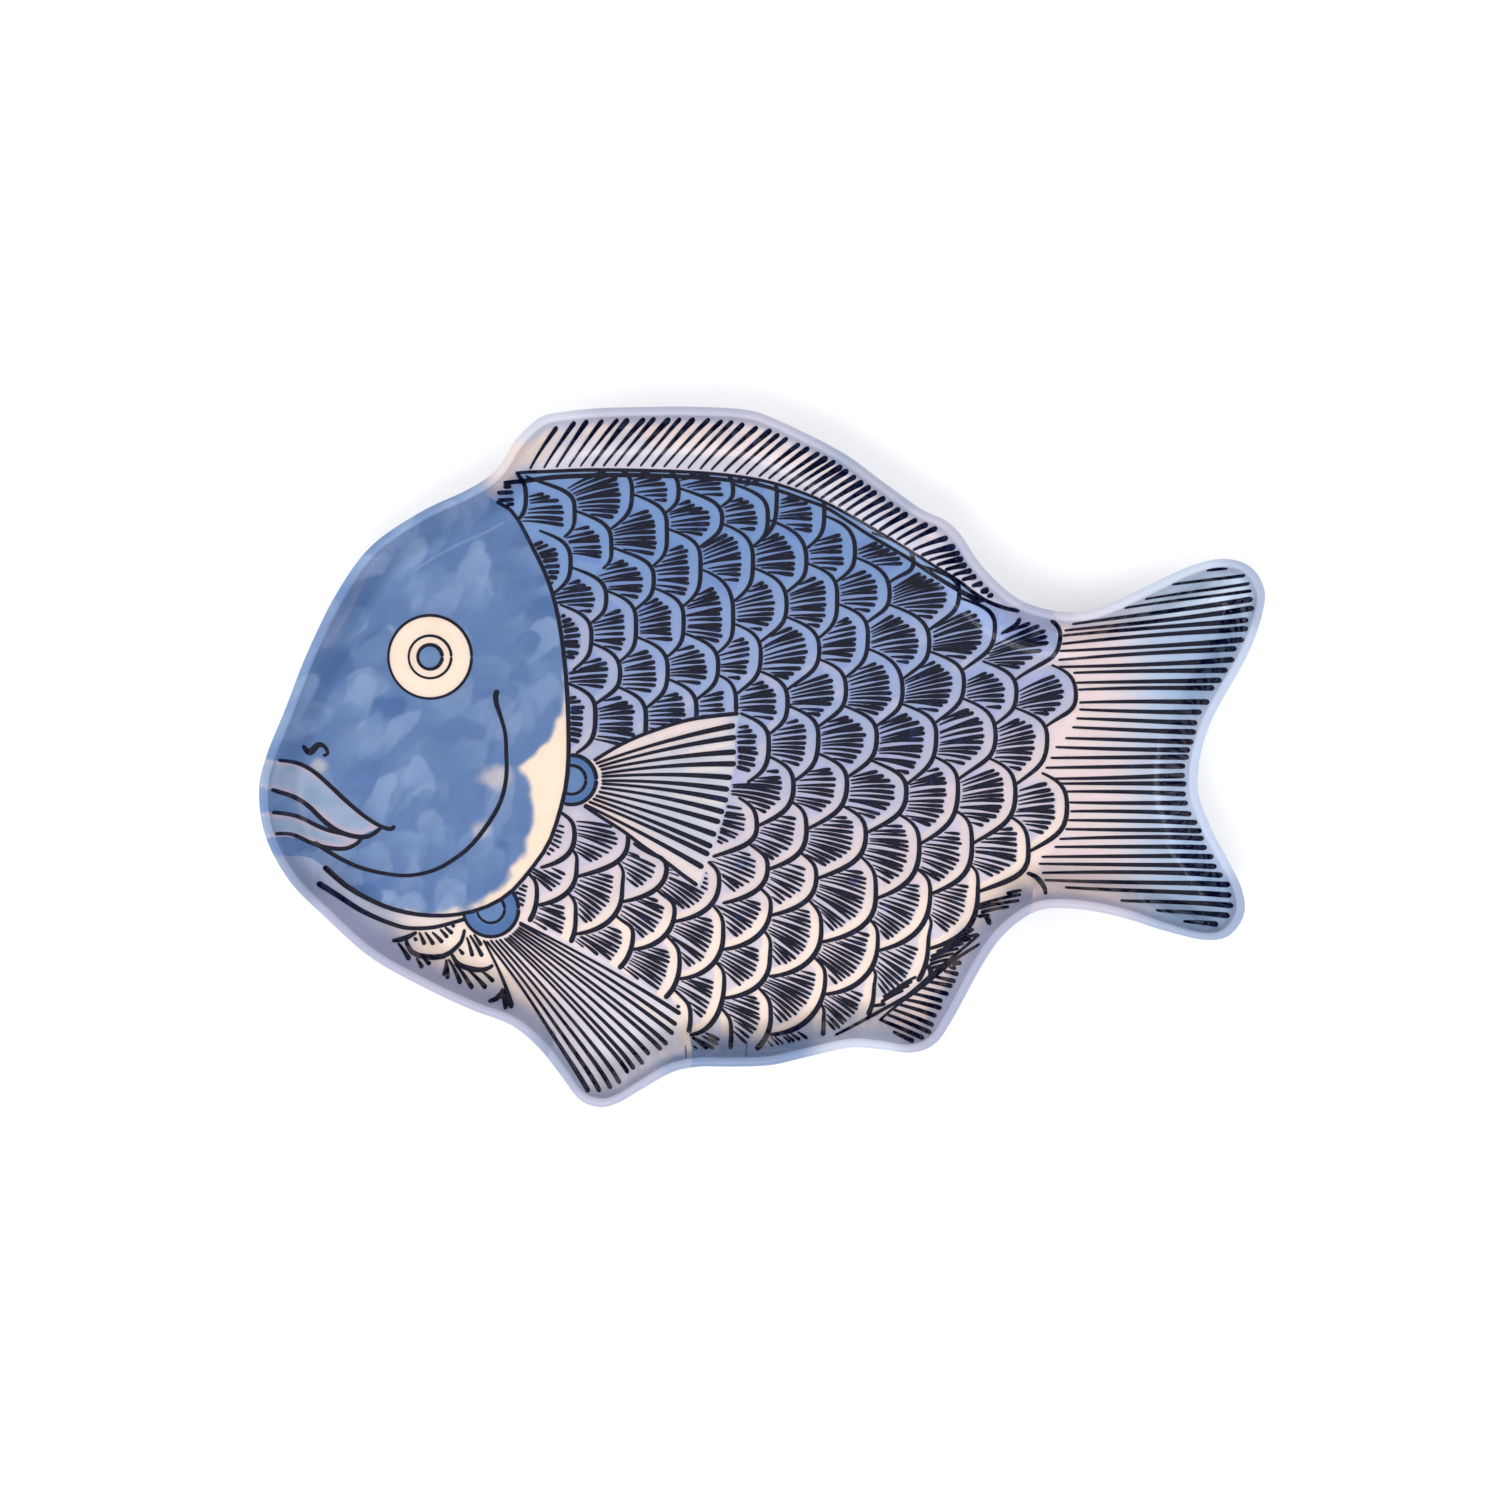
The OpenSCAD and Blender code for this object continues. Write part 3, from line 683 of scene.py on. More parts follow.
def scale_axes(point):
    """The direction in which a scale points, and the one down its rows, in pixels."""
    turn = SCALE_TURN * soft_step(point[1], *TURN_LEVELS)
    return np.array([math.cos(turn), math.sin(turn)]), np.array([-math.sin(turn), math.cos(turn)])


def neighbour(point, offset):
    """The scale nearest to an offset along a scale's own axes, or that place where there is none."""
    forward, down = scale_axes(point)
    target = point + offset[0] * forward + offset[1] * down
    distance = np.linalg.norm(SCALES - target, axis=1)
    nearest = np.argmin(distance)
    return SCALES[nearest] if distance[nearest] < NEIGHBOUR_REACH else target


def quarter(start, end, leave, arrive):
    """A quarter of an oval: a cubic Bezier curve between two places, with its direction at each.

    start (1-t)^3 + 3b t(1-t)^2 + 3c t^2(1-t) + end t^3, with b and c out along those directions.
    """
    t = np.linspace(0, 1, ARC_STEPS)[:, None]
    b = start + ROUNDNESS * abs((end - start) @ leave) * leave
    c = end - ROUNDNESS * abs((end - start) @ arrive) * arrive
    return start * (1 - t)**3 + 3 * b * t * (1 - t)**2 + 3 * c * t * t * (1 - t) + end * t**3


def lower_arc(point):
    """A scale's edge from its rightmost point down to the scale under it."""
    end = neighbour(point, LOWER_NEIGHBOUR) + (-1, np.interp(down_level(point), *END_DROP))
    end = np.array(LOWER_ENDS.get(tuple(point), end))
    return quarter(point, end, heading(90), heading(180 - np.interp(down_level(point), *ARRIVE_TURN)))


def even_line(line):
    """Points evenly along a line."""
    place = np.concatenate([[0], np.cumsum(np.linalg.norm(np.diff(line, axis=0), axis=1))])
    share = np.linspace(0, place[-1], EVEN_POINTS)
    return np.stack([np.interp(share, place, line[:, k]) for k in (0, 1)], axis=1)


def scale_arc(point):
    """A scale's whole edge, from the one over it round to the one under it."""
    level = down_level(point)
    upper = lower_arc(neighbour(point, UPPER_NEIGHBOUR))
    drop = min(upper[0, 1] + np.interp(level, *START_DROP), point[1] - np.interp(level, *START_OVER))
    start = np.array([np.interp(drop, upper[:, 1], upper[:, 0]), drop])
    start = np.array(UPPER_STARTS.get(tuple(point), start), float)
    leave = heading(np.interp(level, *LEAVE_TURN))
    return even_line(np.concatenate([quarter(start, point, leave, heading(90)), lower_arc(point)[1:]]))


def inner_arc(arc):
    """The inner edge of a scale's lighter rim, which narrows towards both of its ends."""
    along = unit(np.gradient(arc, axis=0))
    width = RIM_WIDTH * (1 - RIM_FALL * (1 - np.sin(math.pi * np.linspace(0, 1, len(arc)))))
    return arc + width[:, None] * along[:, ::-1] * (-1, 1)


def scale_corner(point):
    """The corner of a scale behind the two scales to its left."""
    forward, down = scale_axes(point)
    return neighbour(point, ROW_NEIGHBOUR) - CORNER[0] * forward - CORNER[1] * down


arcs = [scale_arc(point) for point in SCALES]
scale_corners = np.array([scale_corner(point) for point in SCALES])


def scale_outline(k):
    """A scale as a closed polygon, back to its corner."""
    return np.array([*arcs[k], scale_corners[k] - CORNER_REACH * scale_axes(SCALES[k])[0]])


def before(k):
    """Scales to the left of a scale which may lie over it."""
    span = SCALES - SCALES[k]
    near = np.linalg.norm(span, axis=1) < BEFORE_REACH
    ahead = span @ scale_axes(SCALES[k])[0] < -BEFORE_STEP
    return np.flatnonzero(near & ahead)


def covered(pixels, k, spare):
    """Whether places lie under a scale before the given one."""
    over = np.zeros(len(pixels), bool)
    for j in before(k):
        over |= signed_distance(pixels, scale_outline(j)) > -spare
    return over


def hatching(k):
    """Strokes that fan out over a scale, from the scales before it nearly to its own edge.

    They point away from an apex and end on the inner arc, evenly spaced by their angle. A stroke bows
    to one side by a sine of its length.
    """
    level = down_level(SCALES[k])
    inner = even_line(inner_arc(arcs[k])[2:-2])
    middle = inner[len(inner) // 2]
    apex = middle - np.interp(level, *FAN_REACH) * heading(np.interp(level, *FAN_TURN))
    span = inner - apex
    turn = np.arctan2(span[:, 1], span[:, 0])
    lowest, highest = np.argmin(turn), np.argmax(turn)
    first, last = turn[lowest], turn[highest]
    reach = np.median(np.linalg.norm(span, axis=1))
    count = max(int((last - first) * reach / np.interp(level, *HATCH_PITCH)), 3)
    pick = first + (last - first) * (np.arange(count) + 0.5 + rng.uniform(*HATCH_PLACE, count)) / count
    rising = slice(lowest, highest + 1)
    ends = np.stack([np.interp(pick, turn[rising], inner[rising, j]) for j in (0, 1)], axis=1)
    ends = ends + rng.uniform(*HATCH_END, count)[:, None] * unit(ends - apex)
    t = np.linspace(0, 1, HATCH_STEPS)
    reach = np.minimum(1.0, HATCH_LENGTH / np.linalg.norm(ends - apex, axis=1))
    start = ends + (apex - ends) * reach[:, None]
    lines = start[:, None] + (ends - start)[:, None] * t[None, :, None]
    bow = rng.uniform(*HATCH_BOW, count)[:, None] * np.sin(math.pi * t)[None]
    lines = lines + bow[..., None] * (ends - start)[:, None, ::-1] * (1, -1)
    points = lines.reshape(-1, 2)
    hidden = covered(points, k, VEIN) | (signed_distance(points, scale_outline(k)) < -HATCH_SPILL)
    weight = soft_step(level, *HATCH_LEVELS)
    half = np.array(HATCH_HALF_ABOVE) * (1 - weight) + np.array(HATCH_HALF_BELOW) * weight
    strokes = []
    for line, under in zip(lines, hidden.reshape(count, -1)):
        first = np.flatnonzero(under)[-1] + 1 if under.any() else 0
        if first < len(line) - HATCH_SHORTEST:
            thick = rng.uniform(*HATCH_THICK)
            strokes.append((places(line[first:]), widths(*(half * thick))(line[first:])))
    return strokes


# Lines given point by point, all in pixels. Names with HALF give half widths from a line's start to its end
GILL_HALF = (1.3, 1.7, 1.9, 1.7, 1.6, 2.2)
# Lines of the cheek, the throat, the nostril and the lips, each with its half widths
HEAD_LINES = [
    ([
        (495, 689), (493, 699), (498, 715), (503, 733), (504, 754), (504, 778), (498, 803), (484, 827),
        (467, 848), (449, 862), (430, 872), (406, 877), (382, 875), (357, 869), (337, 860), (322, 851),
        (310, 843),
    ], (2.6, 1.6, 1.7, 1.9, 1.7, 1.5, 1.8, 1.8)),
    ([
        (316, 883), (328, 891), (340, 899), (356, 910), (373, 919), (390, 926), (406, 930), (432, 929),
        (462, 921),
    ], (2.2, 1.9, 1.7, 1.6)),
    ([
        (300, 745), (303, 750), (307, 752), (314, 745), (320, 746), (324, 753), (319, 756),
    ], (1.2, 2.2, 2.9, 2.4, 1.6, 1.3, 1.5)),
    ([
        (265, 758), (277, 760), (294, 763), (310, 772), (326, 786), (343, 802), (361, 817), (377, 827),
        (388, 830), (391, 826),
    ], (1.0, 1.7, 1.9, 1.6, 1.9)),
    ([
        (260, 785), (275, 791), (292, 798), (306, 808), (318, 820), (331, 830), (345, 836), (361, 838),
        (371, 834), (378, 828),
    ], (1.6, 1.9, 2.0, 2.0, 1.5)),
    ([
        (261, 812), (277, 813), (294, 817), (310, 825), (324, 831), (340, 835),
    ], (1.5, 1.7, 1.8, 1.5)),
    ([
        (268, 838), (275, 834), (290, 835), (306, 843), (320, 848), (337, 850), (347, 848), (355, 843),
        (358, 838),
    ], (1.3, 1.5, 1.8, 1.7, 1.5)),
]
# Rings: radius and half width, those of the roots after their place
EYE_RINGS = [(42.0, 1.15), (21.5, 1.05), (12.3, 1.45)]
ROOT_RINGS = [
    (PECTORAL_ROOT, 25.0, 1.6), (PECTORAL_ROOT, 14.5, 1.3),
    (PELVIC_ROOT, 28.0, 1.5), (PELVIC_ROOT, 14.0, 1.2),
]
BACK_UPPER = [
    (502, 475), (520, 471), (538, 469), (580, 467), (621, 467), (665, 468), (704, 470), (735, 473),
    (760, 477), (780, 482), (816, 495), (851, 513), (887, 534), (923, 556), (959, 579), (980, 596),
    (1003, 607), (1030, 613), (1060, 618), (1085, 621),
]
BACK_UPPER_HALF = (1.0, 1.5, 1.4, 1.3, 1.3, 1.2, 1.6, 1.0)
BACK_LOWER = [
    (481, 488), (500, 483), (522, 479), (555, 474), (621, 472), (665, 473), (704, 475), (735, 478),
    (760, 482), (780, 488), (802, 496), (825, 504), (848, 518), (869, 532), (893, 546), (914, 559),
    (938, 575), (959, 588), (982, 601),
]
BACK_LOWER_HALF = (1.3, 2.0, 1.7, 1.5, 1.4, 1.6, 2.0)
# Rays of the back fin: x of the foot, lean in degrees and length
DORSAL = np.array([
    (527, 55, 54), (552, 52, 66), (600, 48, 72), (642, 47, 74), (700, 44, 70), (750, 38, 60),
    (790, 30, 57), (850, 28, 43), (903, 26, 39), (917, 14, 40), (939, 9, 28), (966, 12, 17),
    (990, 18, 9),
], float)
DORSAL_SPACING = ((527, 745, 770, 1000), (12.2, 12.0, 8.8, 8.0))
# Strokes from x and y of the foot to x and y of the end. A bow is a share of the stroke's length
PECTORAL_RAYS = [
    (594, 764, 735, 725), (597, 767, 736, 737), (599, 770, 736, 752), (600, 774, 736, 764),
    (600, 777, 732, 778), (600, 781, 729, 790), (600, 784, 728, 801), (599, 788, 724, 813),
    (597, 792, 720, 823), (594, 796, 716, 836), (591, 799, 712, 848), (587, 802, 709, 856),
    (583, 805, 703, 869),
]
# So many of the rays, from the upper one on, bow by this share, and the others by half of it
PECTORAL_UPPER = 8
PECTORAL_BOW = 0.02
PECTORAL_HALF = (1.2, 1.3, 1.8, 2.4)
PECTORAL_EDGES = [
    [(592, 761), (617, 746), (643, 734), (682, 721), (710, 716), (739, 713)],
    [(582, 806), (600, 818), (622, 832), (643, 848), (665, 863), (683, 877), (697, 887)],
]
PECTORAL_EDGE_HALF = (1.5, 1.5, 1.6, 1.8)
PELVIC_RAYS = [
    (517, 924, 680, 1017), (517, 926, 676, 1028), (516, 929, 673, 1037), (514, 931, 667, 1047),
    (512, 933, 661, 1052), (510, 935, 649, 1057), (507, 937, 643, 1066), (505, 939, 634, 1071),
    (502, 940, 628, 1075), (497, 941, 620, 1085), (493, 942, 611, 1090), (488, 942, 600, 1093),
    (484, 943, 589, 1093), (481, 942, 512, 1008),
]
PELVIC_BOW = 0.015
PELVIC_HALF = (1.1, 1.1, 1.4, 1.9)
ANAL_LINES = [
    [
        (835, 1036), (852, 1028), (873, 1018), (890, 1009), (908, 999), (921, 988), (934, 976),
        (958, 955), (980, 935),
    ],
    [(880, 1023), (901, 1006), (925, 988), (942, 973), (960, 958), (980, 944)],
]
ANAL_LINE_HALF = (0.9, 1.5, 1.5, 1.0)
ANAL_RAYS = [
    (953, 966, 962, 963), (950, 969, 957, 969), (945, 973, 959, 975), (937, 979, 956, 982),
    (930, 984, 953, 987), (922, 990, 949, 995), (914, 996, 943, 1002), (906, 1002, 942, 1009),
    (900, 1007, 937, 1017), (894, 1012, 934, 1026), (888, 1017, 933, 1034), (881, 1022, 927, 1040),
    (893, 1033, 914, 1042),
]
ANAL_HALF = (1.2, 1.6, 2.0)
TAIL_RAYS = [
    (1186, 572, 1236, 567), (1161, 586, 1247, 575), (1145, 599, 1252, 583), (1112, 610, 1255, 590),
    (1072, 624, 1257, 598), (1065, 630, 1258, 607), (1064, 635, 1257, 619), (1064, 643, 1252, 628),
    (1062, 650, 1248, 639), (1061, 659, 1245, 648), (1061, 666, 1238, 659), (1076, 672, 1231, 670),
    (1079, 682, 1228, 680), (1081, 689, 1224, 688), (1082, 702, 1212, 702), (1082, 709, 1210, 712),
    (1079, 718, 1200, 723), (1075, 727, 1196, 732), (1068, 738, 1196, 742), (1058, 747, 1196, 750),
    (1053, 758, 1195, 757), (1048, 768, 1195, 766), (1055, 779, 1194, 775), (1062, 784, 1195, 784),
    (1069, 792, 1200, 795), (1072, 803, 1202, 803), (1073, 812, 1206, 815), (1071, 821, 1209, 823),
    (1068, 830, 1214, 831), (1062, 840, 1217, 839), (1057, 848, 1221, 848), (1044, 858, 1225, 857),
    (1041, 865, 1229, 867), (1044, 874, 1231, 876), (1046, 881, 1234, 885), (1066, 888, 1239, 896),
    (1121, 901, 1236, 906), (1157, 911, 1230, 916), (1184, 922, 1219, 925),
]
# The rays that start above this level are thinner, which also stands in for the highlight that greys them on
# the tail's upper point
TAIL_TOP = 620
TAIL_HALF = (1.0, 1.5, 1.8, 2.5)
TOP_HALF = (0.8, 1.1, 1.2, 1.4)
TAIL_BOW = (-0.006, 0.010)
BELLY_ARCS = [
    [
        (404, 941), (405, 946), (411, 954), (422, 958), (434, 959), (444, 957), (452, 951), (459, 943),
        (462, 931),
    ],
    [(390, 942), (402, 940), (414, 934)],
    [(449, 956), (454, 964), (462, 969), (475, 972), (485, 971), (491, 967)],
    [(488, 1002), (495, 1000), (500, 995), (501, 990)],
    [(502, 991), (506, 1000), (512, 1009)],
    [(1029, 874), (1038, 878), (1045, 887), (1046, 895)],
    [(986, 917), (989, 921), (990, 926)],
    [(926, 966), (932, 972), (931, 979)],
]
BELLY_ARC_HALF = (1.4, 2.3, 1.4)
BELLY_HATCH = [
    (411, 939, 414, 943), (416, 934, 422, 947), (422, 934, 431, 947), (429, 934, 440, 945),
    (437, 931, 445, 940), (442, 929, 450, 936), (448, 926, 452, 929), (396, 944, 409, 961),
    (415, 959, 422, 969), (421, 959, 429, 966), (456, 951, 461, 957), (464, 939, 470, 959),
    (467, 937, 480, 959), (471, 936, 479, 948), (444, 961, 443, 977), (444, 962, 447, 980),
    (446, 961, 460, 985), (452, 965, 472, 990), (465, 971, 485, 990), (479, 973, 492, 984),
    (501, 997, 506, 1010),
]
BELLY_HALF = (0.9, 1.9)
BELLY_BOW = 0.02
HATCH_BELOW = [
    (1008, 895, 1023, 891), (980, 907, 1022, 895), (980, 910, 1020, 901), (982, 914, 1010, 907),
    (979, 918, 991, 916), (964, 938, 975, 930), (955, 944, 979, 935), (945, 950, 972, 940),
    (938, 954, 965, 945), (932, 959, 960, 950), (931, 963, 956, 955), (931, 967, 950, 961),
    (932, 971, 944, 967), (898, 991, 918, 979), (890, 996, 914, 984), (884, 1000, 911, 988),
    (882, 1005, 905, 993),
]
BELOW_HALF = (1.5, 1.2)
CREASES = [[(685, 1047), (686, 1057), (685, 1067)], [(747, 1046), (746, 1055), (747, 1064)]]
CREASE_HALF = (0.5, 0.8, 0.5)
BOW_STEPS = 12
LOOP_STEPS = 73
LOOP_UNEVEN = 0.12
# How the rays of the back fin are drawn: spreads of lean in degrees, length, weight and spacing
DORSAL_LEAN = (-1.5, 1.5)
DORSAL_LENGTH = (0.94, 1.04)
DORSAL_THICK = (0.85, 1.25)
DORSAL_HEAVIER = ((740, 800), (1.0, 1.3))
DORSAL_HALF = (0.9, 1.3, 2.1)
DORSAL_BOW = 0.03
DORSAL_UNEVEN = (0.9, 1.1)


def bowed(ends, bow, *half):
    """A stroke between two places that bows to its left by a share of its length: 4 t (1 - t) bow."""
    start, end = np.array(ends[:2], float), np.array(ends[2:], float)
    t = np.linspace(0, 1, BOW_STEPS)[:, None]
    aside = (end - start)[::-1] * (1, -1)
    line = start + t * (end - start) + bow * 4 * t * (1 - t) * aside
    return places(line), widths(*half)(line)


def loop(share, radius, half):
    """A round line about a place, its radius and half width in pixels."""
    turn = np.linspace(0, 2 * math.pi, LOOP_STEPS)
    line = of_shares(share) + pixel_mm(radius) * np.stack([np.cos(turn), np.sin(turn)], axis=1)
    return line, pixel_mm(half) * (1 + LOOP_UNEVEN * np.sin(turn + 1))


def dorsal_rays():
    """Rays of the back fin, which lean over more and get shorter towards the tail."""
    at, leans, lengths = DORSAL.T
    line = np.array(BACK_UPPER, float)
    foot = at[0]
    strokes = []
    while foot < at[-1]:
        lean = math.radians(np.interp(foot, at, leans) + rng.uniform(*DORSAL_LEAN))
        length = np.interp(foot, at, lengths) * rng.uniform(*DORSAL_LENGTH)
        height = np.interp(foot, line[:, 0], line[:, 1])
        end = (foot + length * math.cos(lean), height - length * math.sin(lean))
        thick = rng.uniform(*DORSAL_THICK) * np.interp(foot, *DORSAL_HEAVIER)
        strokes.append(bowed((foot, height, *end), DORSAL_BOW, *(thick * np.array(DORSAL_HALF))))
        foot += np.interp(foot, *DORSAL_SPACING) * rng.uniform(*DORSAL_UNEVEN)
    return strokes


# Colours of the print, painted over the plan by formulas
LATTICE = 64
NOISE_LAYERS = 3


def linear(*colour):
    """A colour given in 0 to 255 as it shows on a screen, as the amounts of light it stands for."""
    value = np.array(colour) / 255
    return np.where(value <= 0.04045, value / 12.92, ((value + 0.055) / 1.055)**2.4)


def blend(a, b, weight):
    """Colours between a, at weight 0, and b, at weight 1."""
    weight = np.asarray(weight)[..., None]
    return a * (1 - weight) + b * weight


def ramp(level, first, *steps):
    """Colours that turn from the first one into each step's colour between its two levels."""
    colour = first
    for low, high, following in steps:
        colour = blend(colour, following, soft_step(level, low, high))
    return colour


def tinted(colour, tint, level, *tints):
    """Colours with patches of others, each by its amount, its range of the tint and of the levels."""
    for other, amount, patch, *levels in tints:
        weight = amount * soft_step(tint, *patch)
        for low, high in levels:
            weight = weight * soft_step(level, low, high)
        colour = blend(colour, other, weight)
    return colour


def noise(x, y, seed):
    """Smooth random values from 0 to 1, between the random values of a square lattice of side 1."""
    lattice = np.random.default_rng(seed).random((LATTICE, LATTICE))
    i, j = np.floor(x).astype(int), np.floor(y).astype(int)
    u, v = soft_step(x - i, 0, 1), soft_step(y - j, 0, 1)
    i, j, i_next, j_next = i % LATTICE, j % LATTICE, (i + 1) % LATTICE, (j + 1) % LATTICE
    near = lattice[i, j] * (1 - u) + lattice[i_next, j] * u
    far = lattice[i, j_next] * (1 - u) + lattice[i_next, j_next] * u
    return near * (1 - v) + far * v


def clouds(x, y, seed):
    """Layers of noise, from 0 to 1 in all, each twice as fine and half as strong as the last."""
    layers = sum(noise(x * 2**k, y * 2**k, seed + k) / 2**k for k in range(NOISE_LAYERS))
    return layers / (2 - 0.5**(NOISE_LAYERS - 1))


def to_pixels(plan):
    """Pixels of the photograph for plan positions."""
    share = plan / (LENGTH, WIDTH) + 0.5
    return PHOTO_LEFT + share[:, 0] * PHOTO_SPAN[0], PHOTO_LOW - share[:, 1] * PHOTO_SPAN[1]


CREAM = linear(255, 236, 219)
PINK = linear(232, 208, 214)
PALEST = linear(255, 242, 240)
BLUEST = linear(206, 230, 255)
RIM_BLUE = linear(120, 145, 184)
RIM_GREY = linear(142, 154, 184)
RIM_LAVENDER = linear(170, 173, 200)
RIM_PALE = linear(196, 204, 226)
RIM_CREAM = linear(226, 212, 208)
# Which of these colours the rim's wall has, from place to place in pixels of the photograph. They are partly
# print and partly painted light and shade: lightened where the walls lie in shade, and a darker blue that
# paints the lower wall's shade
RIM_PLACES = [
    (290, 700, RIM_BLUE), (380, 545, RIM_BLUE), (455, 492, RIM_GREY), (515, 458, RIM_CREAM),
    (528, 425, RIM_PALE), (640, 408, RIM_LAVENDER), (760, 415, RIM_LAVENDER), (870, 480, RIM_GREY),
    (960, 540, RIM_LAVENDER), (1040, 605, RIM_LAVENDER), (1110, 605, RIM_PALE), (1180, 570, RIM_PALE),
    (1255, 590, RIM_GREY), (1240, 660, RIM_PALE), (1200, 740, RIM_PALE), (1220, 840, RIM_PALE),
    (1240, 910, RIM_GREY), (1190, 935, RIM_GREY), (1080, 905, RIM_LAVENDER), (1000, 925, RIM_LAVENDER),
    (940, 1045, RIM_LAVENDER), (860, 1045, RIM_PALE), (770, 1060, RIM_BLUE), (690, 1062, RIM_BLUE),
    (640, 1085, RIM_LAVENDER), (600, 1105, RIM_LAVENDER), (560, 1070, RIM_GREY), (500, 1015, RIM_LAVENDER),
    (420, 975, RIM_LAVENDER), (340, 920, RIM_LAVENDER), (290, 880, RIM_GREY), (264, 810, RIM_BLUE),
]
RIM_BLUR = 60.0
# Size of the unevenness along the rim in pixels, and the shares of the reach between which it fades
EDGE_PATCH = 26
EDGE_FADE = (0.25, 1.5)


def edge_colour(x, y):
    """The wall's colour along the rim, print with painted light and shade: a mean of the rim places' colours
    by 1 / (d^2 + RIM_BLUR)^2.
    """
    weight = np.stack([1 / ((x - px)**2 + (y - py)**2 + RIM_BLUR)**2 for px, py, _ in RIM_PLACES], axis=1)
    return weight @ np.array([colour for _, _, colour in RIM_PLACES]) / weight.sum(axis=1, keepdims=True)


def with_edge(colour, plan, x, y, reach, strength):
    """Colours that turn into the wall's colour, with its painted light and shade, near the rim, along an
    uneven line.
    """
    uneven = reach * (0.75 + 0.5 * noise(x / EDGE_PATCH, y / EDGE_PATCH, 90))
    near = 1 - soft_step(surface.at(surface.gap, plan), EDGE_FADE[0] * uneven, EDGE_FADE[1] * uneven)
    return blend(colour, edge_colour(x, y), strength * near)


# Washes of the head: the ground under the dabs, and the colours, sizes in pixels and turns of the dabs
GROUND = linear(118, 152, 200)
DARKER_GROUND = linear(104, 136, 188)
DEEP = linear(84, 124, 180)
LIGHT = linear(168, 190, 224)
DAB_COUNT = 260
DAB_AREA = ((255, 480), (575, 945))
DAB_SIZE = ((16, 9), (40, 20))
DAB_TURN = 0.9
DAB_SWAY = 1.5
DAB_SPREAD = (-0.4, 0.4)
DAB_STRENGTH = (0.45, 0.85)
DAB_FRONT = (0.90, 1.0)
DAB_FADE = (-0.95, 0.8)
DAB_WARP = 22
# Width of the bare cream along the gill line at each level, both in pixels
CREAM_WIDTH = (
    (655, 690, 715, 745, 768, 785, 810, 850, 880, 905, 925),
    (0, 2, 6, 24, 48, 38, 26, 17, 12, 5, 0),
)
CREAM_FROM = 400
# Other bare spots: their middle, their half sizes and how bare they are
CREAM_SPOTS = [
    (490, 778, 18, 11, 0.5), (478, 832, 12, 9, 0.4), (314, 766, 9, 8, 0.45), (440, 927, 38, 8, 0.95),
    (530, 872, 14, 5, 0.5),
]


def head_wash(x, y):
    """Brush dabs laid over each other: each fades at its tail and ends in an uneven sharp front."""
    random = np.random.default_rng(5)
    colour = blend(GROUND, DARKER_GROUND, clouds(x / 90, y / 90, 31))
    warp_x = x + DAB_WARP * (clouds(x / 30, y / 30, 11) - 0.5)
    warp_y = y + DAB_WARP * (clouds(x / 30, y / 30, 21) - 0.5)
    centre = random.uniform(*DAB_AREA, (DAB_COUNT, 2))
    sway = DAB_SWAY * (noise(centre[:, 0] / 90, centre[:, 1] / 90, 41) - 0.5)
    turn = DAB_TURN + sway + random.uniform(*DAB_SPREAD, DAB_COUNT)
    size = random.uniform(*DAB_SIZE, (DAB_COUNT, 2))
    tone = random.random(DAB_COUNT)
    strength = random.uniform(*DAB_STRENGTH, DAB_COUNT)
    for k in range(DAB_COUNT):
        right, down = warp_x - centre[k, 0], warp_y - centre[k, 1]
        along = right * math.cos(turn[k]) - down * math.sin(turn[k])
        across = right * math.sin(turn[k]) + down * math.cos(turn[k])
        reach = np.hypot(along / size[k, 0], across / size[k, 1])
        shape = (1 - soft_step(reach, *DAB_FRONT)) * soft_step(along / size[k, 0], *DAB_FADE)
        colour = blend(colour, blend(DEEP, LIGHT, tone[k]), strength[k] * shape)
    grain = clouds(x / 9, y / 9, 51)
    return colour * (0.87 + 0.14 * grain)[:, None]


def head_colour(plan):
    """Brushed blue washes that overlap, with bare cream behind the cheek and under the chin."""
    x, y = to_pixels(plan)
    colour = head_wash(x, y)
    inward = signed_distance(plan, HEAD_LINE) / pixel_mm(1)
    ragged = 10 * (clouds(x / 15, y / 15, 71) - 0.5)
    width = np.interp(y, *CREAM_WIDTH)
    cream = 1 - soft_step(inward + ragged, width - 3, width + 4)
    cream = cream * (width > 0.5) * (x > CREAM_FROM)
    for cx, cy, rx, ry, amount in CREAM_SPOTS:
        reach = np.sqrt(((x - cx) / rx)**2 + ((y - cy) / ry)**2) + 0.12 * ragged
        cream = np.maximum(cream, amount * (1 - soft_step(reach, 0.3, 1.35)))
    return with_edge(blend(colour, CREAM, cream), plan, x, y, reach=1.3, strength=0.25)


# Scales are laid in turn from the far end of this direction, and each covers those laid before it
LAID_ALONG = np.array([0.9, 0.35])
# From a scale's corner to about its middle, and how far from there it can reach, in pixels
SCALE_MIDDLE = 20
SCALE_REACH = 90
# Colours from the back down to the belly: the first one, and each next one with its two levels
RIM_RAMP = (
    linear(122, 158, 208), (540, 650, linear(154, 172, 214)), (650, 770, linear(184, 184, 212)),
    (780, 860, linear(216, 204, 210)), (870, 930, CREAM),
)
WASH_RAMP = (
    linear(112, 146, 206), (540, 660, linear(148, 164, 214)), (660, 800, linear(178, 180, 224)),
    (800, 930, linear(206, 202, 228)),
)
# Patches of other colours: how strong each is, and its ranges of the tint and of the levels
WASH_TINTS = (
    (PINK, 0.5, (0.5, 0.75), (720, 860)), (linear(150, 170, 214), 0.4, (0.42, 0.25), (640, 760)),
)
RIM_TINTS = (
    (linear(150, 168, 210), 0.30, (0.42, 0.2), (900, 820)), (PINK, 0.4, (0.55, 0.75), (620, 700), (900, 840)),
)
GREYER_RIM = linear(190, 186, 208)
CHIN_BLUE = linear(136, 164, 208)
THROAT_MIDDLE = (445, 947)
THROAT_SIZE = (50, 22)


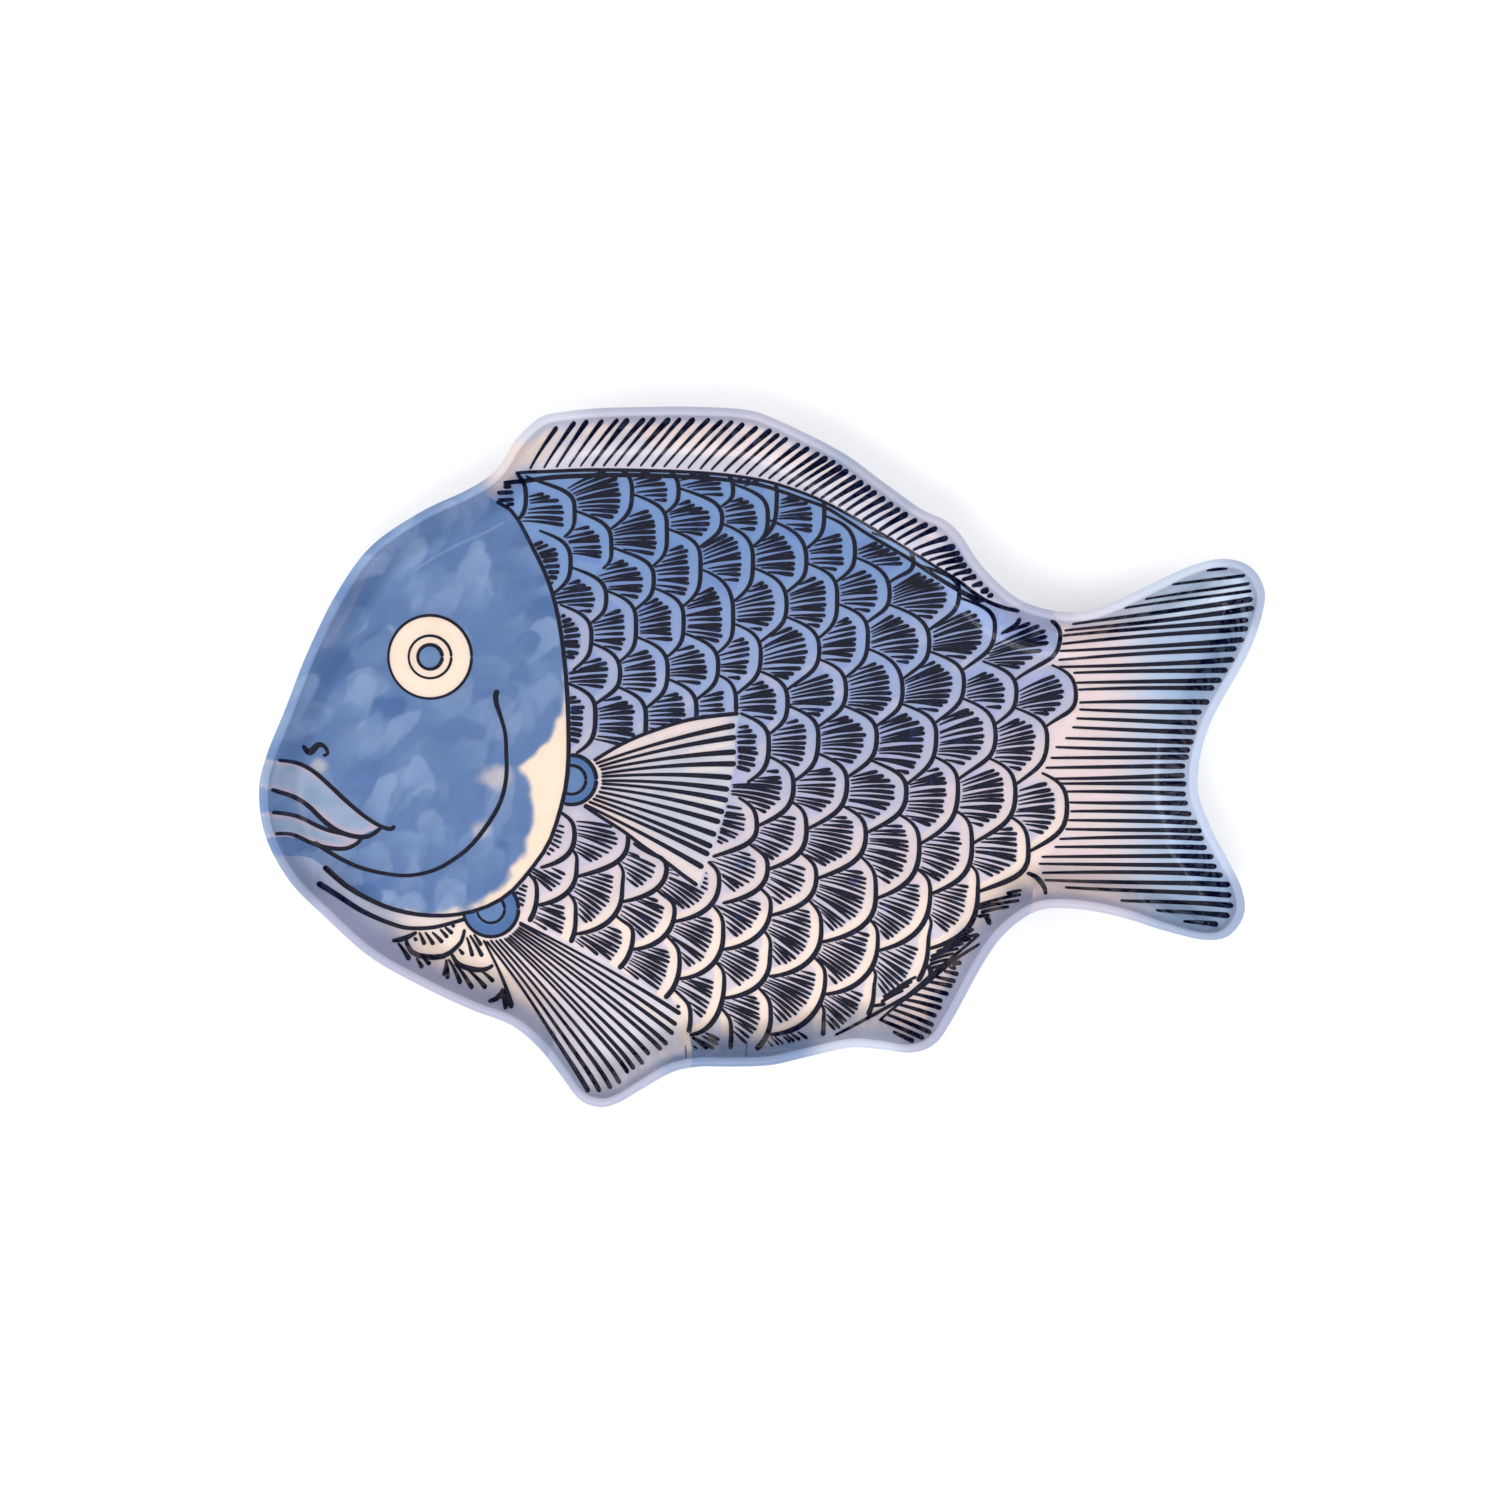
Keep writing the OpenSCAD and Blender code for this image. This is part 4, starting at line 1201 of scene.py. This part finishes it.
def scale_parts(plan):
    """Where points lie on a scale's lighter rim, as 0 or 1, and which of them lie on no scale."""
    here = np.stack(to_pixels(plan), axis=1)
    on_rim = np.zeros(len(plan))
    bare = np.ones(len(plan), bool)
    for k in np.argsort(-(SCALES @ LAID_ALONG)):
        near = np.flatnonzero(np.linalg.norm(here - scale_corners[k] - SCALE_MIDDLE, axis=1) < SCALE_REACH)
        if not len(near):
            continue
        outline = scale_outline(k)
        outer = signed_distance(here[near], outline) > 0
        inner = signed_distance(here[near], np.array([*inner_arc(arcs[k]), outline[-1]])) > 0
        on_rim[near[outer]] = ~inner[outer]
        bare[near[outer]] = False
    return on_rim, bare


def scale_colour(plan):
    """Scales: a wash under the hatching and a lighter rim, from blue on the back to cream below."""
    x, y = to_pixels(plan)
    on_rim, bare = scale_parts(plan)
    level = y + 0.10 * (x - 760) + 0.3 * np.clip(x - 900, 0, 200) + 50 * (clouds(x / 80, y / 80, 101) - 0.5)
    tint = clouds(x / 22, y / 22, 111)
    left = soft_step(x, 660, 590) * soft_step(y, 570, 640)
    rim = blend(ramp(level, *RIM_RAMP), GREYER_RIM, 0.8 * left * soft_step(level, 900, 800))
    rim = tinted(rim, tint, level, *RIM_TINTS)
    wash = tinted(ramp(level, *WASH_RAMP), tint, level, *WASH_TINTS)
    plain = blend(rim, tail_wash(x, y), soft_step(x, 1025, 1060))
    colour = np.where(bare[:, None], plain, blend(wash, rim, on_rim))
    colour = blend(colour, CHIN_BLUE, soft_step(x, 415, 375) * soft_step(y, 800, 850))
    aside, down = (x - THROAT_MIDDLE[0]) / THROAT_SIZE[0], (y - THROAT_MIDDLE[1]) / THROAT_SIZE[1]
    colour = blend(colour, CREAM, 0.95 * np.exp(-aside**2 - down**2))
    lighter = 0.13 + 0.08 * soft_step(level, 560, 700) + 0.24 * soft_step(level, 740, 880)
    colour = blend(colour, blend(BLUEST, PALEST, soft_step(level, 700, 860)), lighter)
    # Near the belly the wall's colour reaches further in, painting the lower wall's shaded band over the
    # print
    return with_edge(colour, plan, x, y, reach=4.4 + 3.2 * soft_step(y, 850, 930), strength=0.95)


def dorsal_colour(plan):
    """Back fin: pink and cream in its middle, blue-grey at its foot and its rim."""
    x, y = to_pixels(plan)
    from_line = signed_distance(plan, BACK_AREA) / pixel_mm(1)
    patch = clouds(x / 40, y / 20, 121)
    pink = soft_step(from_line, 8, 30) * soft_step(patch, 0.25, 0.55)
    colour = blend(linear(206, 212, 232), linear(250, 234, 234), pink)
    front = soft_step(x, 575, 520) * soft_step(x, 495, 530)
    colour = blend(colour, CREAM, 0.7 * front * soft_step(from_line, 2, 12))
    colour = blend(linear(214, 212, 234), colour, soft_step(from_line, 3, 8))
    return with_edge(blend(colour, PALEST, 0.3), plan, x, y, reach=2.4, strength=0.8)


def tail_wash(x, y):
    """The tail's streaks along it, pink and cream behind the scales and blue towards its end."""
    streak = clouds(x / 120, y / 7, 131)
    to_blue = soft_step(x + 90 * (streak - 0.5), 1090, 1160)
    colour = blend(linear(236, 216, 222), linear(208, 214, 232), to_blue)
    colour = blend(colour, linear(170, 192, 226), soft_step(x + 40 * (streak - 0.5), 1125, 1205))
    cream = 0.6 * soft_step(streak, 0.55, 0.75) * soft_step(x, 1180, 1110)
    return blend(colour, linear(244, 226, 222), cream)


def tail_colour(plan):
    """Tail: streaked wash with a bluer rim, and a painted highlight that makes its upper point palest."""
    x, y = to_pixels(plan)
    # Painted highlight: the tail's upper point is blended towards a pale blue-white
    top = soft_step(y, 640, 600) * soft_step(x, 1090, 1150)
    colour = blend(tail_wash(x, y), linear(232, 238, 250), 0.9 * top)
    colour = blend(colour, blend(PALEST, BLUEST, soft_step(x, 1100, 1180)), 0.42)
    return with_edge(colour, plan, x, y, reach=2.2, strength=0.7)


def fin_colour(plan, root, length, seed, near, middle, far):
    """A fin's streaks along its rays, with colours near its root, in its middle and at its end."""
    span = plan - of_shares(root)
    turn = np.arctan2(span[:, 1], span[:, 0])
    reach = np.linalg.norm(span, axis=1) / length
    streak = clouds(turn * 26, reach * 2.5, seed)
    colour = blend(near, middle, soft_step(reach + 0.5 * (streak - 0.5), 0.2, 0.6))
    colour = blend(colour, far, soft_step(reach + 0.3 * (streak - 0.5), 0.75, 1.0))
    colour = blend(colour, CREAM, 0.55 * soft_step(streak, 0.58, 0.8))
    return blend(colour, PALEST, 0.36), turn


def pectoral_colour(plan):
    """Side fin: cream along its upper and lower edge, pale blue between."""
    x, y = to_pixels(plan)
    near, middle, far = linear(218, 210, 222), linear(184, 202, 224), linear(204, 212, 226)
    colour, turn = fin_colour(plan, PECTORAL_ROOT, 58, 141, near, middle, far)
    edge = np.maximum(soft_step(turn, 0.18, 0.42), soft_step(turn, -0.5, -0.68))
    colour = blend(colour, linear(246, 228, 224), 0.75 * edge)
    end = soft_step(x + 0.22 * np.abs(y - 760), 728, 744)
    return blend(colour, linear(206, 208, 226), 0.9 * end)


def pelvic_colour(plan):
    """Lower front fin: pink near its root, pale blue towards its end, and cream at its corner."""
    x, y = to_pixels(plan)
    near, middle, far = linear(240, 226, 234), linear(222, 220, 238), linear(198, 210, 234)
    colour, _ = fin_colour(plan, PELVIC_ROOT, 88, 151, near, middle, far)
    colour = blend(colour, CREAM, 0.8 * soft_step(x - 0.2 * y, 462, 484))
    colour = blend(colour, CREAM, 0.5 * np.exp(-((x - 520) / 22)**2 - ((y - 1012) / 26)**2))
    return with_edge(colour, plan, x, y, reach=2.6, strength=0.8)


def anal_colour(plan):
    """Small lower fin: lavender and pink by its line, blue towards the rim."""
    x, y = to_pixels(plan)
    patch = clouds(x / 30, y / 14, 161)
    colour = blend(linear(208, 202, 222), linear(240, 220, 216), soft_step(patch, 0.35, 0.65))
    to_rim = soft_step(x + 0.55 * (y - 1000), 936, 972)
    # The blend towards PALEST is partly painted light: it lightens the fin against the shade on its wall
    colour = blend(blend(colour, PALEST, 0.4), linear(156, 178, 212), to_rim)
    return with_edge(colour, plan, x, y, reach=5.0, strength=0.9)


def lip_colour(plan, shares):
    """Lips: pale blue-grey with a pink tinge along their edges."""
    x, y = to_pixels(plan)
    from_edge = signed_distance(plan, of_shares(shares)) / pixel_mm(1)
    patch = clouds(x / 18, y / 12, 171)
    colour = blend(linear(154, 178, 204), linear(170, 186, 212), soft_step(patch, 0.35, 0.65))
    colour = blend(linear(206, 192, 208), colour, soft_step(from_edge, 2, 7))
    return with_edge(colour, plan, x, y, reach=1.0, strength=0.5)


def root_colour(plan, share):
    """A fin's root: two rounds of blue wash."""
    x, y = to_pixels(plan)
    reach = np.linalg.norm(plan - of_shares(share), axis=1) / pixel_mm(1)
    colour = blend(linear(116, 150, 198), linear(92, 130, 184), soft_step(reach, 12, 20))
    return colour * (0.9 + 0.2 * clouds(x / 10, y / 10, 181))[:, None]


def even_colour(plan, first, second):
    """A wash that varies a little between two colours."""
    x, y = to_pixels(plan)
    return blend(first, second, clouds(x / 12, y / 12, 191))


PAINTS = {
    "eye_pupil": lambda plan: even_colour(plan, linear(104, 140, 188), linear(140, 168, 206)),
    "eye_white": lambda plan: even_colour(plan, linear(255, 239, 224), linear(253, 234, 220)),
    "upper_lip": lambda plan: lip_colour(plan, UPPER_LIP),
    "lower_lip": lambda plan: lip_colour(plan, LOWER_LIP),
    "head": head_colour,
    "pectoral_root": lambda plan: root_colour(plan, PECTORAL_ROOT),
    "pelvic_root": lambda plan: root_colour(plan, PELVIC_ROOT),
    "pectoral_fin": pectoral_colour,
    "pelvic_fin": pelvic_colour,
    "dorsal_fin": dorsal_colour,
    "tail_fin": tail_colour,
    "anal_fin": anal_colour,
    "scales": scale_colour,
}


# Materials. Only the glaze mirrors over the print, so what lies under it has no gloss of its own
UNDER_GLAZE = 0.0
GLAZE_IOR = 1.38


def connect(node, **inputs):
    """Wires or values into a node's inputs, each by name with _ for spaces or by number after "at"."""
    for name, value in inputs.items():
        socket = node.inputs[int(name[2:]) if name.startswith("at") else name.replace("_", " ")]
        if isinstance(value, Wire):
            value.tree.links.new(value.socket, socket)
        else:
            socket.default_value = value


class Wire:
    """A shader value that takes part in sums and products."""

    # The output of a Mix node that carries a colour; every other node is read at its first
    COLOUR_OUTPUT = 2

    def __init__(self, tree, socket):
        self.tree = tree
        self.socket = socket

    def node(self, kind, settings=(), **inputs):
        """A new node's output, with its settings and its inputs."""
        node = self.tree.nodes.new(kind)
        for name, value in dict(settings).items():
            setattr(node, name, value)
        connect(node, **inputs)
        return Wire(self.tree, node.outputs[self.COLOUR_OUTPUT if kind == "ShaderNodeMix" else 0])

    def math(self, operation, first, second):
        """The result of a Math node."""
        return self.node("ShaderNodeMath", {"operation": operation}, at0=first, at1=second)

    def __add__(self, other):
        return self.math("ADD", self, other)

    __radd__ = __add__

    def __mul__(self, other):
        return self.math("MULTIPLY", self, other)

    __rmul__ = __mul__


def new_material(name):
    """A material, its Principled node, and its object coordinates as the first wire."""
    material = bpy.data.materials.new(name)
    material.use_nodes = True
    tree = material.node_tree
    shader = tree.nodes["Principled BSDF"]
    coordinates = tree.nodes.new("ShaderNodeTexCoord")
    return material, shader, Wire(tree, coordinates.outputs["Object"])


def noise_wire(place, scale, detail=2.0, roughness=0.5):
    """Noise over object coordinates, with scale in patches a metre."""
    return place.node("ShaderNodeTexNoise", Vector=place, Scale=scale, Detail=detail, Roughness=roughness)


def painted(place, amount):
    """The mesh's painted colour times an amount."""
    colour = place.node("ShaderNodeAttribute", {"attribute_name": "paint"})
    return place.node("ShaderNodeVectorMath", {"operation": "SCALE"}, at0=colour, Scale=amount)


def print_material(name):
    """Printed wash: the painted colour with the foil's fine fibres and a slight unevenness."""
    material, shader, place = new_material(name)
    fibres = noise_wire(place, scale=1500, detail=3.0, roughness=0.6)
    cloudy = noise_wire(place, scale=160)
    colour = painted(place, 0.90 + 0.10 * fibres + 0.10 * cloudy)
    connect(shader, Base_Color=colour, Roughness=0.42 + 0.2 * fibres, Specular_IOR_Level=UNDER_GLAZE)
    return material


def ink_material(name, dark, thin, share):
    """Ink in its dark colour, with the thin one in patches that a higher share makes larger."""
    material, shader, place = new_material(name)
    patch = noise_wire(place, scale=220, detail=3.0, roughness=0.6)
    low, high = 0.62 - share, 0.78 - 0.5 * share
    weight = place.node("ShaderNodeMapRange", Value=patch, From_Min=low, From_Max=high)
    colour = place.node("ShaderNodeMix", {"data_type": "RGBA"}, at0=weight, at6=(*dark, 1), at7=(*thin, 1))
    connect(shader, Base_Color=colour, Roughness=0.35 + 0.2 * patch, Specular_IOR_Level=UNDER_GLAZE)
    return material


def moulding_material():
    """Gloss moulding: the print's colour along the rim, darkened by painted shade, with a fine unevenness of
    its gloss.
    """
    material, shader, place = new_material("gloss_moulding")
    ripple = noise_wire(place, scale=90)
    grain = noise_wire(place, scale=900)
    bump = place.node("ShaderNodeBump", Height=grain, Strength=0.04, Distance=0.0004)
    connect(shader, Base_Color=painted(place, 0.95 + 0.05 * ripple + 0.05 * grain), Normal=bump)
    connect(shader, Roughness=0.12 + 0.10 * ripple, Specular_IOR_Level=0.3)
    return material


def glaze_material():
    """Clear gloss: a mirror as strong as a clear layer of that index reflects, and else see-through."""
    material, mirror, place = new_material("clear_glaze")
    tree = place.tree
    ripple = noise_wire(place, scale=60)
    connect(mirror, Base_Color=(1, 1, 1, 1), Metallic=1.0, Roughness=0.06 + 0.08 * ripple)
    clear = tree.nodes.new("ShaderNodeBsdfTransparent")
    mix = tree.nodes.new("ShaderNodeMixShader")
    fresnel = place.node("ShaderNodeFresnel", IOR=GLAZE_IOR)
    tree.links.new(fresnel.socket, mix.inputs[0])
    tree.links.new(clear.outputs[0], mix.inputs[1])
    tree.links.new(mirror.outputs[0], mix.inputs[2])
    tree.links.new(mix.outputs[0], tree.nodes["Material Output"].inputs["Surface"])
    return material


def plain_material(name, colour, roughness):
    """An even material for the floor."""
    material, shader, _ = new_material(name)
    connect(shader, Base_Color=(*colour, 1), Roughness=roughness)
    return material


def paint(mesh, colours):
    """Painted colour of each point, as the mesh attribute that the materials read."""
    attribute = mesh.attributes.new("paint", "FLOAT_COLOR", "POINT")
    rgba = np.concatenate([colours, np.ones((len(colours), 1))], axis=1)
    attribute.data.foreach_set("color", rgba.astype(np.float32).ravel())


# Printed areas and pieces, in millimetres
GRID_PITCH = 0.82
EDGE_STEPS = 8
# How far from the rim the scales' ink stops
CLEAR_OF_RIM = 2.2
# How many points a stroke is trimmed by, and the fewest that are kept as a stroke
TRIM_POINTS = 48
FEWEST_POINTS = 3
end_x = (0.5 + OUTSIDE) * LENGTH
end_y = (0.5 + OUTSIDE) * WIDTH
gill = smooth_curve(of_shares(GILL), EDGE_STEPS, False)
back = smooth_curve(of_shares(BACK), EDGE_STEPS, False)
tail_root = smooth_curve(of_shares(TAIL_ROOT), EDGE_STEPS, False)
HEAD_LINE = np.array([*gill, (-end_x, end_y)])
BACK_AREA = np.array([*back, (back[-1, 0], end_y), (back[0, 0], end_y)])
TAIL_AREA = np.array([
    *tail_root, (tail_root[-1, 0], -end_y), (end_x, -end_y), (end_x, end_y), (tail_root[0, 0], end_y),
])


def round_field(share, radius):
    """Distance in from the edge of a round area."""
    return lambda plan: radius - np.linalg.norm(plan - of_shares(share), axis=1)


def polygon_field(polygon):
    """Distance in from the sides of an area."""
    return lambda plan: signed_distance(plan, np.asarray(polygon))


# Each area's part node, its slot and its field. An area takes what the areas before it left
AREAS = {
    "eye_pupil": ("pupil_foil", "pupil_print", round_field(EYE, PUPIL_R)),
    "eye_white": ("eye_foil", "eye_print", round_field(EYE, EYE_R)),
    "upper_lip": ("upper_lip_foil", "lip_print", polygon_field(of_shares(UPPER_LIP))),
    "lower_lip": ("lower_lip_foil", "lip_print", polygon_field(of_shares(LOWER_LIP))),
    "head": ("head_foil", "head_print", polygon_field(HEAD_LINE)),
    "pectoral_root": ("pectoral_root_foil", "root_print", round_field(PECTORAL_ROOT, PECTORAL_ROOT_R)),
    "pelvic_root": ("pelvic_root_foil", "root_print", round_field(PELVIC_ROOT, PELVIC_ROOT_R)),
    "pectoral_fin": ("pectoral_fin_foil", "pectoral_print", polygon_field(of_shares(PECTORAL))),
    "pelvic_fin": ("pelvic_fin_foil", "pelvic_print", polygon_field(of_shares(PELVIC))),
    "dorsal_fin": ("dorsal_fin_foil", "dorsal_print", polygon_field(BACK_AREA)),
    "tail_fin": ("tail_fin_foil", "tail_print", polygon_field(TAIL_AREA)),
    "anal_fin": ("anal_fin_foil", "anal_print", polygon_field(of_shares(ANAL))),
    "scales": ("scale_foil", "scale_print", None),
}


def on_platter(plan):
    """How far inside the rim a place lies."""
    return surface.at(surface.gap, plan)


def off_head(plan):
    """How far outside the head and inside the rim a place lies."""
    return np.minimum(-AREAS["head"][2](plan), on_platter(plan))


def on_dorsal_fin(plan):
    """How far inside the back fin and the rim a place lies."""
    return np.minimum(AREAS["dorsal_fin"][2](plan), on_platter(plan))


def among_scales(plan):
    """How far outside all the other areas, and inside a line along the rim, a place lies."""
    others = [field(plan) for _, _, field in AREAS.values() if field]
    return np.minimum(-np.max(others, axis=0), on_platter(plan) - CLEAR_OF_RIM)


def platter_colour(plan):
    """The print's colour at each place, from whichever area it lies in."""
    colour = PAINTS["scales"](plan)
    for name, (_, _, field) in reversed(AREAS.items()):
        if field:
            inside = field(plan) > 0
            colour[inside] = PAINTS[name](plan[inside])
    return colour


# The print's colour goes over the rim, and turns into the bare moulding's between these heights
BARE = linear(222, 226, 236)
PRINT_ENDS = (19.5, 22.5)
# Painted shade: the print's colour on the moulding is darkened by this share, against the light that falls on
# the bead
RIM_PAINTED_SHADE = 0.85
body_mesh = loft("platter_body", body_sections())
body_points = np.zeros(len(body_mesh.vertices) * 3)
body_mesh.vertices.foreach_get("co", body_points)
body_points = body_points.reshape(-1, 3) / MM
upper_side = soft_step(body_points[:, 2], *PRINT_ENDS)
paint(body_mesh, blend(BARE, RIM_PAINTED_SHADE * platter_colour(body_points[:, :2]), upper_side))
add_piece(body_mesh, moulding_material(), ["moulded_body"])

rest = plan_grid(GRID_PITCH)
for name, (node, slot, field) in AREAS.items():
    inside = rest
    if field:
        value = field(rest[0])
        inside, rest = cut(*rest, value), cut(*rest, -value)
    mesh = layer(name, *inside, GLAZE_T, PRINT_T)
    paint(mesh, np.tile(PAINTS[name](inside[0]), (2, 1)))
    add_piece(mesh, print_material(name + "_print"), [node])

BLACK = linear(3, 6, 40)
NAVY = linear(22, 48, 108)
line_ink = ink_material("line_ink", BLACK, NAVY, 0.0)
wash_ink = ink_material("hatch_ink", BLACK, NAVY, 0.03)
crease_ink = ink_material("crease_ink", linear(60, 100, 160), linear(90, 130, 180), 0.2)


def draw(name, strokes, stations, ink=line_ink):
    """A piece of ink strokes, each through a number of stations along its line."""
    add_piece(ribbons(name, strokes, stations), ink)


def trimmed(strokes, field, spare):
    """The parts of strokes where a field is above spare, in millimetres."""
    even = [resample(np.asarray(line), half, TRIM_POINTS) for line, half in strokes]
    value = field(np.concatenate([line for line, _ in even])).reshape(len(even), -1)
    parts = []
    for (line, half), inside in zip(even, value > spare):
        change = np.flatnonzero(np.diff(np.concatenate([[0], inside.astype(int), [0]])))
        runs = [(a, b) for a, b in zip(change[::2], change[1::2]) if b - a >= FEWEST_POINTS]
        parts += [(line[a:b], half[a:b]) for a, b in runs]
    return parts


# Edges and hatching of the scales, and the strokes below them
heavy = np.interp([down_level(point) for point in SCALES], *ARC_WEIGHT)
edges = [(places(arc), widths(*ARC_HALF)(arc) * weight) for arc, weight in zip(arcs, heavy)]
hatches = [stroke for k in range(len(SCALES)) for stroke in hatching(k)]
scale_lines = trimmed(edges[:-LAST_SCALES], among_scales, spare=-0.15)
scale_lines += trimmed(edges[-LAST_SCALES:], on_platter, spare=0.15)
draw("scale_lines", scale_lines, stations=28)
draw("scale_hatching", trimmed(hatches, among_scales, spare=0.5), stations=9, ink=wash_ink)

# Lines of the head, the eye and the fins' roots
gill_pixels = np.stack(to_pixels(of_shares(GILL)), axis=1)[:-2]
head_lines = [drawn(gill_pixels, *GILL_HALF)]
head_lines += [drawn(pixels, *half) for pixels, half in HEAD_LINES]
draw("head_lines", trimmed(head_lines, on_platter, spare=0.05), stations=60)
draw("eye_rings", [loop(EYE, *ring) for ring in EYE_RINGS], stations=96)
roots = [loop(*ring) for ring in ROOT_RINGS]
draw("root_rings", trimmed(roots, off_head, spare=0.0), stations=60)

# Lines and rays of the fins
back_lines = [drawn(BACK_UPPER, *BACK_UPPER_HALF), drawn(BACK_LOWER, *BACK_LOWER_HALF)]
draw("back_lines", trimmed(back_lines, on_platter, spare=0.2), stations=90)
draw("dorsal_rays", trimmed(dorsal_rays(), on_dorsal_fin, spare=0.5), stations=14)
pectoral = [bowed(ends, PECTORAL_BOW, *PECTORAL_HALF) for ends in PECTORAL_RAYS[:PECTORAL_UPPER]]
pectoral += [bowed(ends, PECTORAL_BOW / 2, *PECTORAL_HALF) for ends in PECTORAL_RAYS[PECTORAL_UPPER:]]
pectoral += [drawn(pixels, *PECTORAL_EDGE_HALF) for pixels in PECTORAL_EDGES]
draw("pectoral_rays", pectoral, stations=30)
pelvic = [bowed(ends, PELVIC_BOW, *PELVIC_HALF) for ends in PELVIC_RAYS]
draw("pelvic_rays", trimmed(pelvic, on_platter, spare=0.3), stations=30)
anal = [drawn(pixels, *ANAL_LINE_HALF) for pixels in ANAL_LINES]
anal += [bowed(ends, 0.0, *ANAL_HALF) for ends in ANAL_RAYS]
draw("anal_rays", trimmed(anal, on_platter, spare=0.3), stations=20)
tail = []
for ends in TAIL_RAYS:
    half = TAIL_HALF if ends[1] > TAIL_TOP else TOP_HALF
    tail.append(bowed(ends, rng.uniform(*TAIL_BOW), *half))
draw("tail_rays", trimmed(tail, on_platter, spare=0.15), stations=30)

# Strokes of the belly, and the foil's creases
belly = [drawn(pixels, *BELLY_ARC_HALF) for pixels in BELLY_ARCS]
belly += [bowed(ends, BELLY_BOW, *BELLY_HALF) for ends in BELLY_HATCH]
belly += [bowed(ends, BELLY_BOW, *BELOW_HALF) for ends in HATCH_BELOW]
draw("belly_lines", trimmed(belly, off_head, spare=0.3), stations=16)
creases = [drawn(pixels, *CREASE_HALF) for pixels in CREASES]
draw("foil_creases", trimmed(creases, on_platter, spare=0.05), stations=12, ink=crease_ink)

glaze_mesh = loft("glaze", glaze_sections())
add_piece(glaze_mesh, glaze_material(), ["clear_glaze"])

# Camera, light and floor, in metres and watts
LENS = 120
SENSOR = 36
CAMERA_PLACE = (-0.00425, 0.00248, 1.792)
WORLD_LIGHT = 0.88
# Each lamp's name, place, size and power
LAMPS = [
    ("key_light", (-0.2, -0.9, 1.5), 1.0, 9), ("right_light", (1.4, 0.3, 1.0), 1.1, 6),
    ("left_light", (-1.4, -0.2, 1.0), 1.1, 8),
]
FLOOR_REACH = 6.0
FLOOR_GREY = 0.95
FLOOR_ROUGHNESS = 0.9

camera = bpy.data.cameras.new("camera")
camera.lens = LENS
camera.sensor_width = SENSOR
camera_object = bpy.data.objects.new("camera", camera)
camera_object.location = CAMERA_PLACE
bpy.context.scene.collection.objects.link(camera_object)
bpy.context.scene.camera = camera_object
bpy.context.scene.view_settings.view_transform = "Standard"

world = bpy.data.worlds.new("world")
bpy.context.scene.world = world
world.use_nodes = True
world.node_tree.nodes["Background"].inputs["Color"].default_value = (1, 1, 1, 1)
world.node_tree.nodes["Background"].inputs["Strength"].default_value = WORLD_LIGHT


def area_light(name, place, size, energy):
    """A soft square light that faces the platter."""
    light = bpy.data.lights.new(name, "AREA")
    light.shape = "SQUARE"
    light.size = size
    light.energy = energy
    lamp = bpy.data.objects.new(name, light)
    lamp.location = place
    direction = -np.array(place)
    lamp.rotation_euler = (
        math.acos(-direction[2] / np.linalg.norm(direction)),
        0,
        math.atan2(direction[1], direction[0]) - math.pi / 2,
    )
    bpy.context.scene.collection.objects.link(lamp)


for lamp in LAMPS:
    area_light(*lamp)

floor_mesh = bpy.data.meshes.new("floor")
floor_corners = [(x * FLOOR_REACH, y * FLOOR_REACH, 0) for x, y in ((-1, -1), (1, -1), (1, 1), (-1, 1))]
floor_mesh.from_pydata(floor_corners, [], [(0, 1, 2, 3)])
floor = bpy.data.objects.new("floor", floor_mesh)
bpy.context.scene.collection.objects.link(floor)
floor_mesh.materials.append(plain_material("floor", (FLOOR_GREY,) * 3, FLOOR_ROUGHNESS))
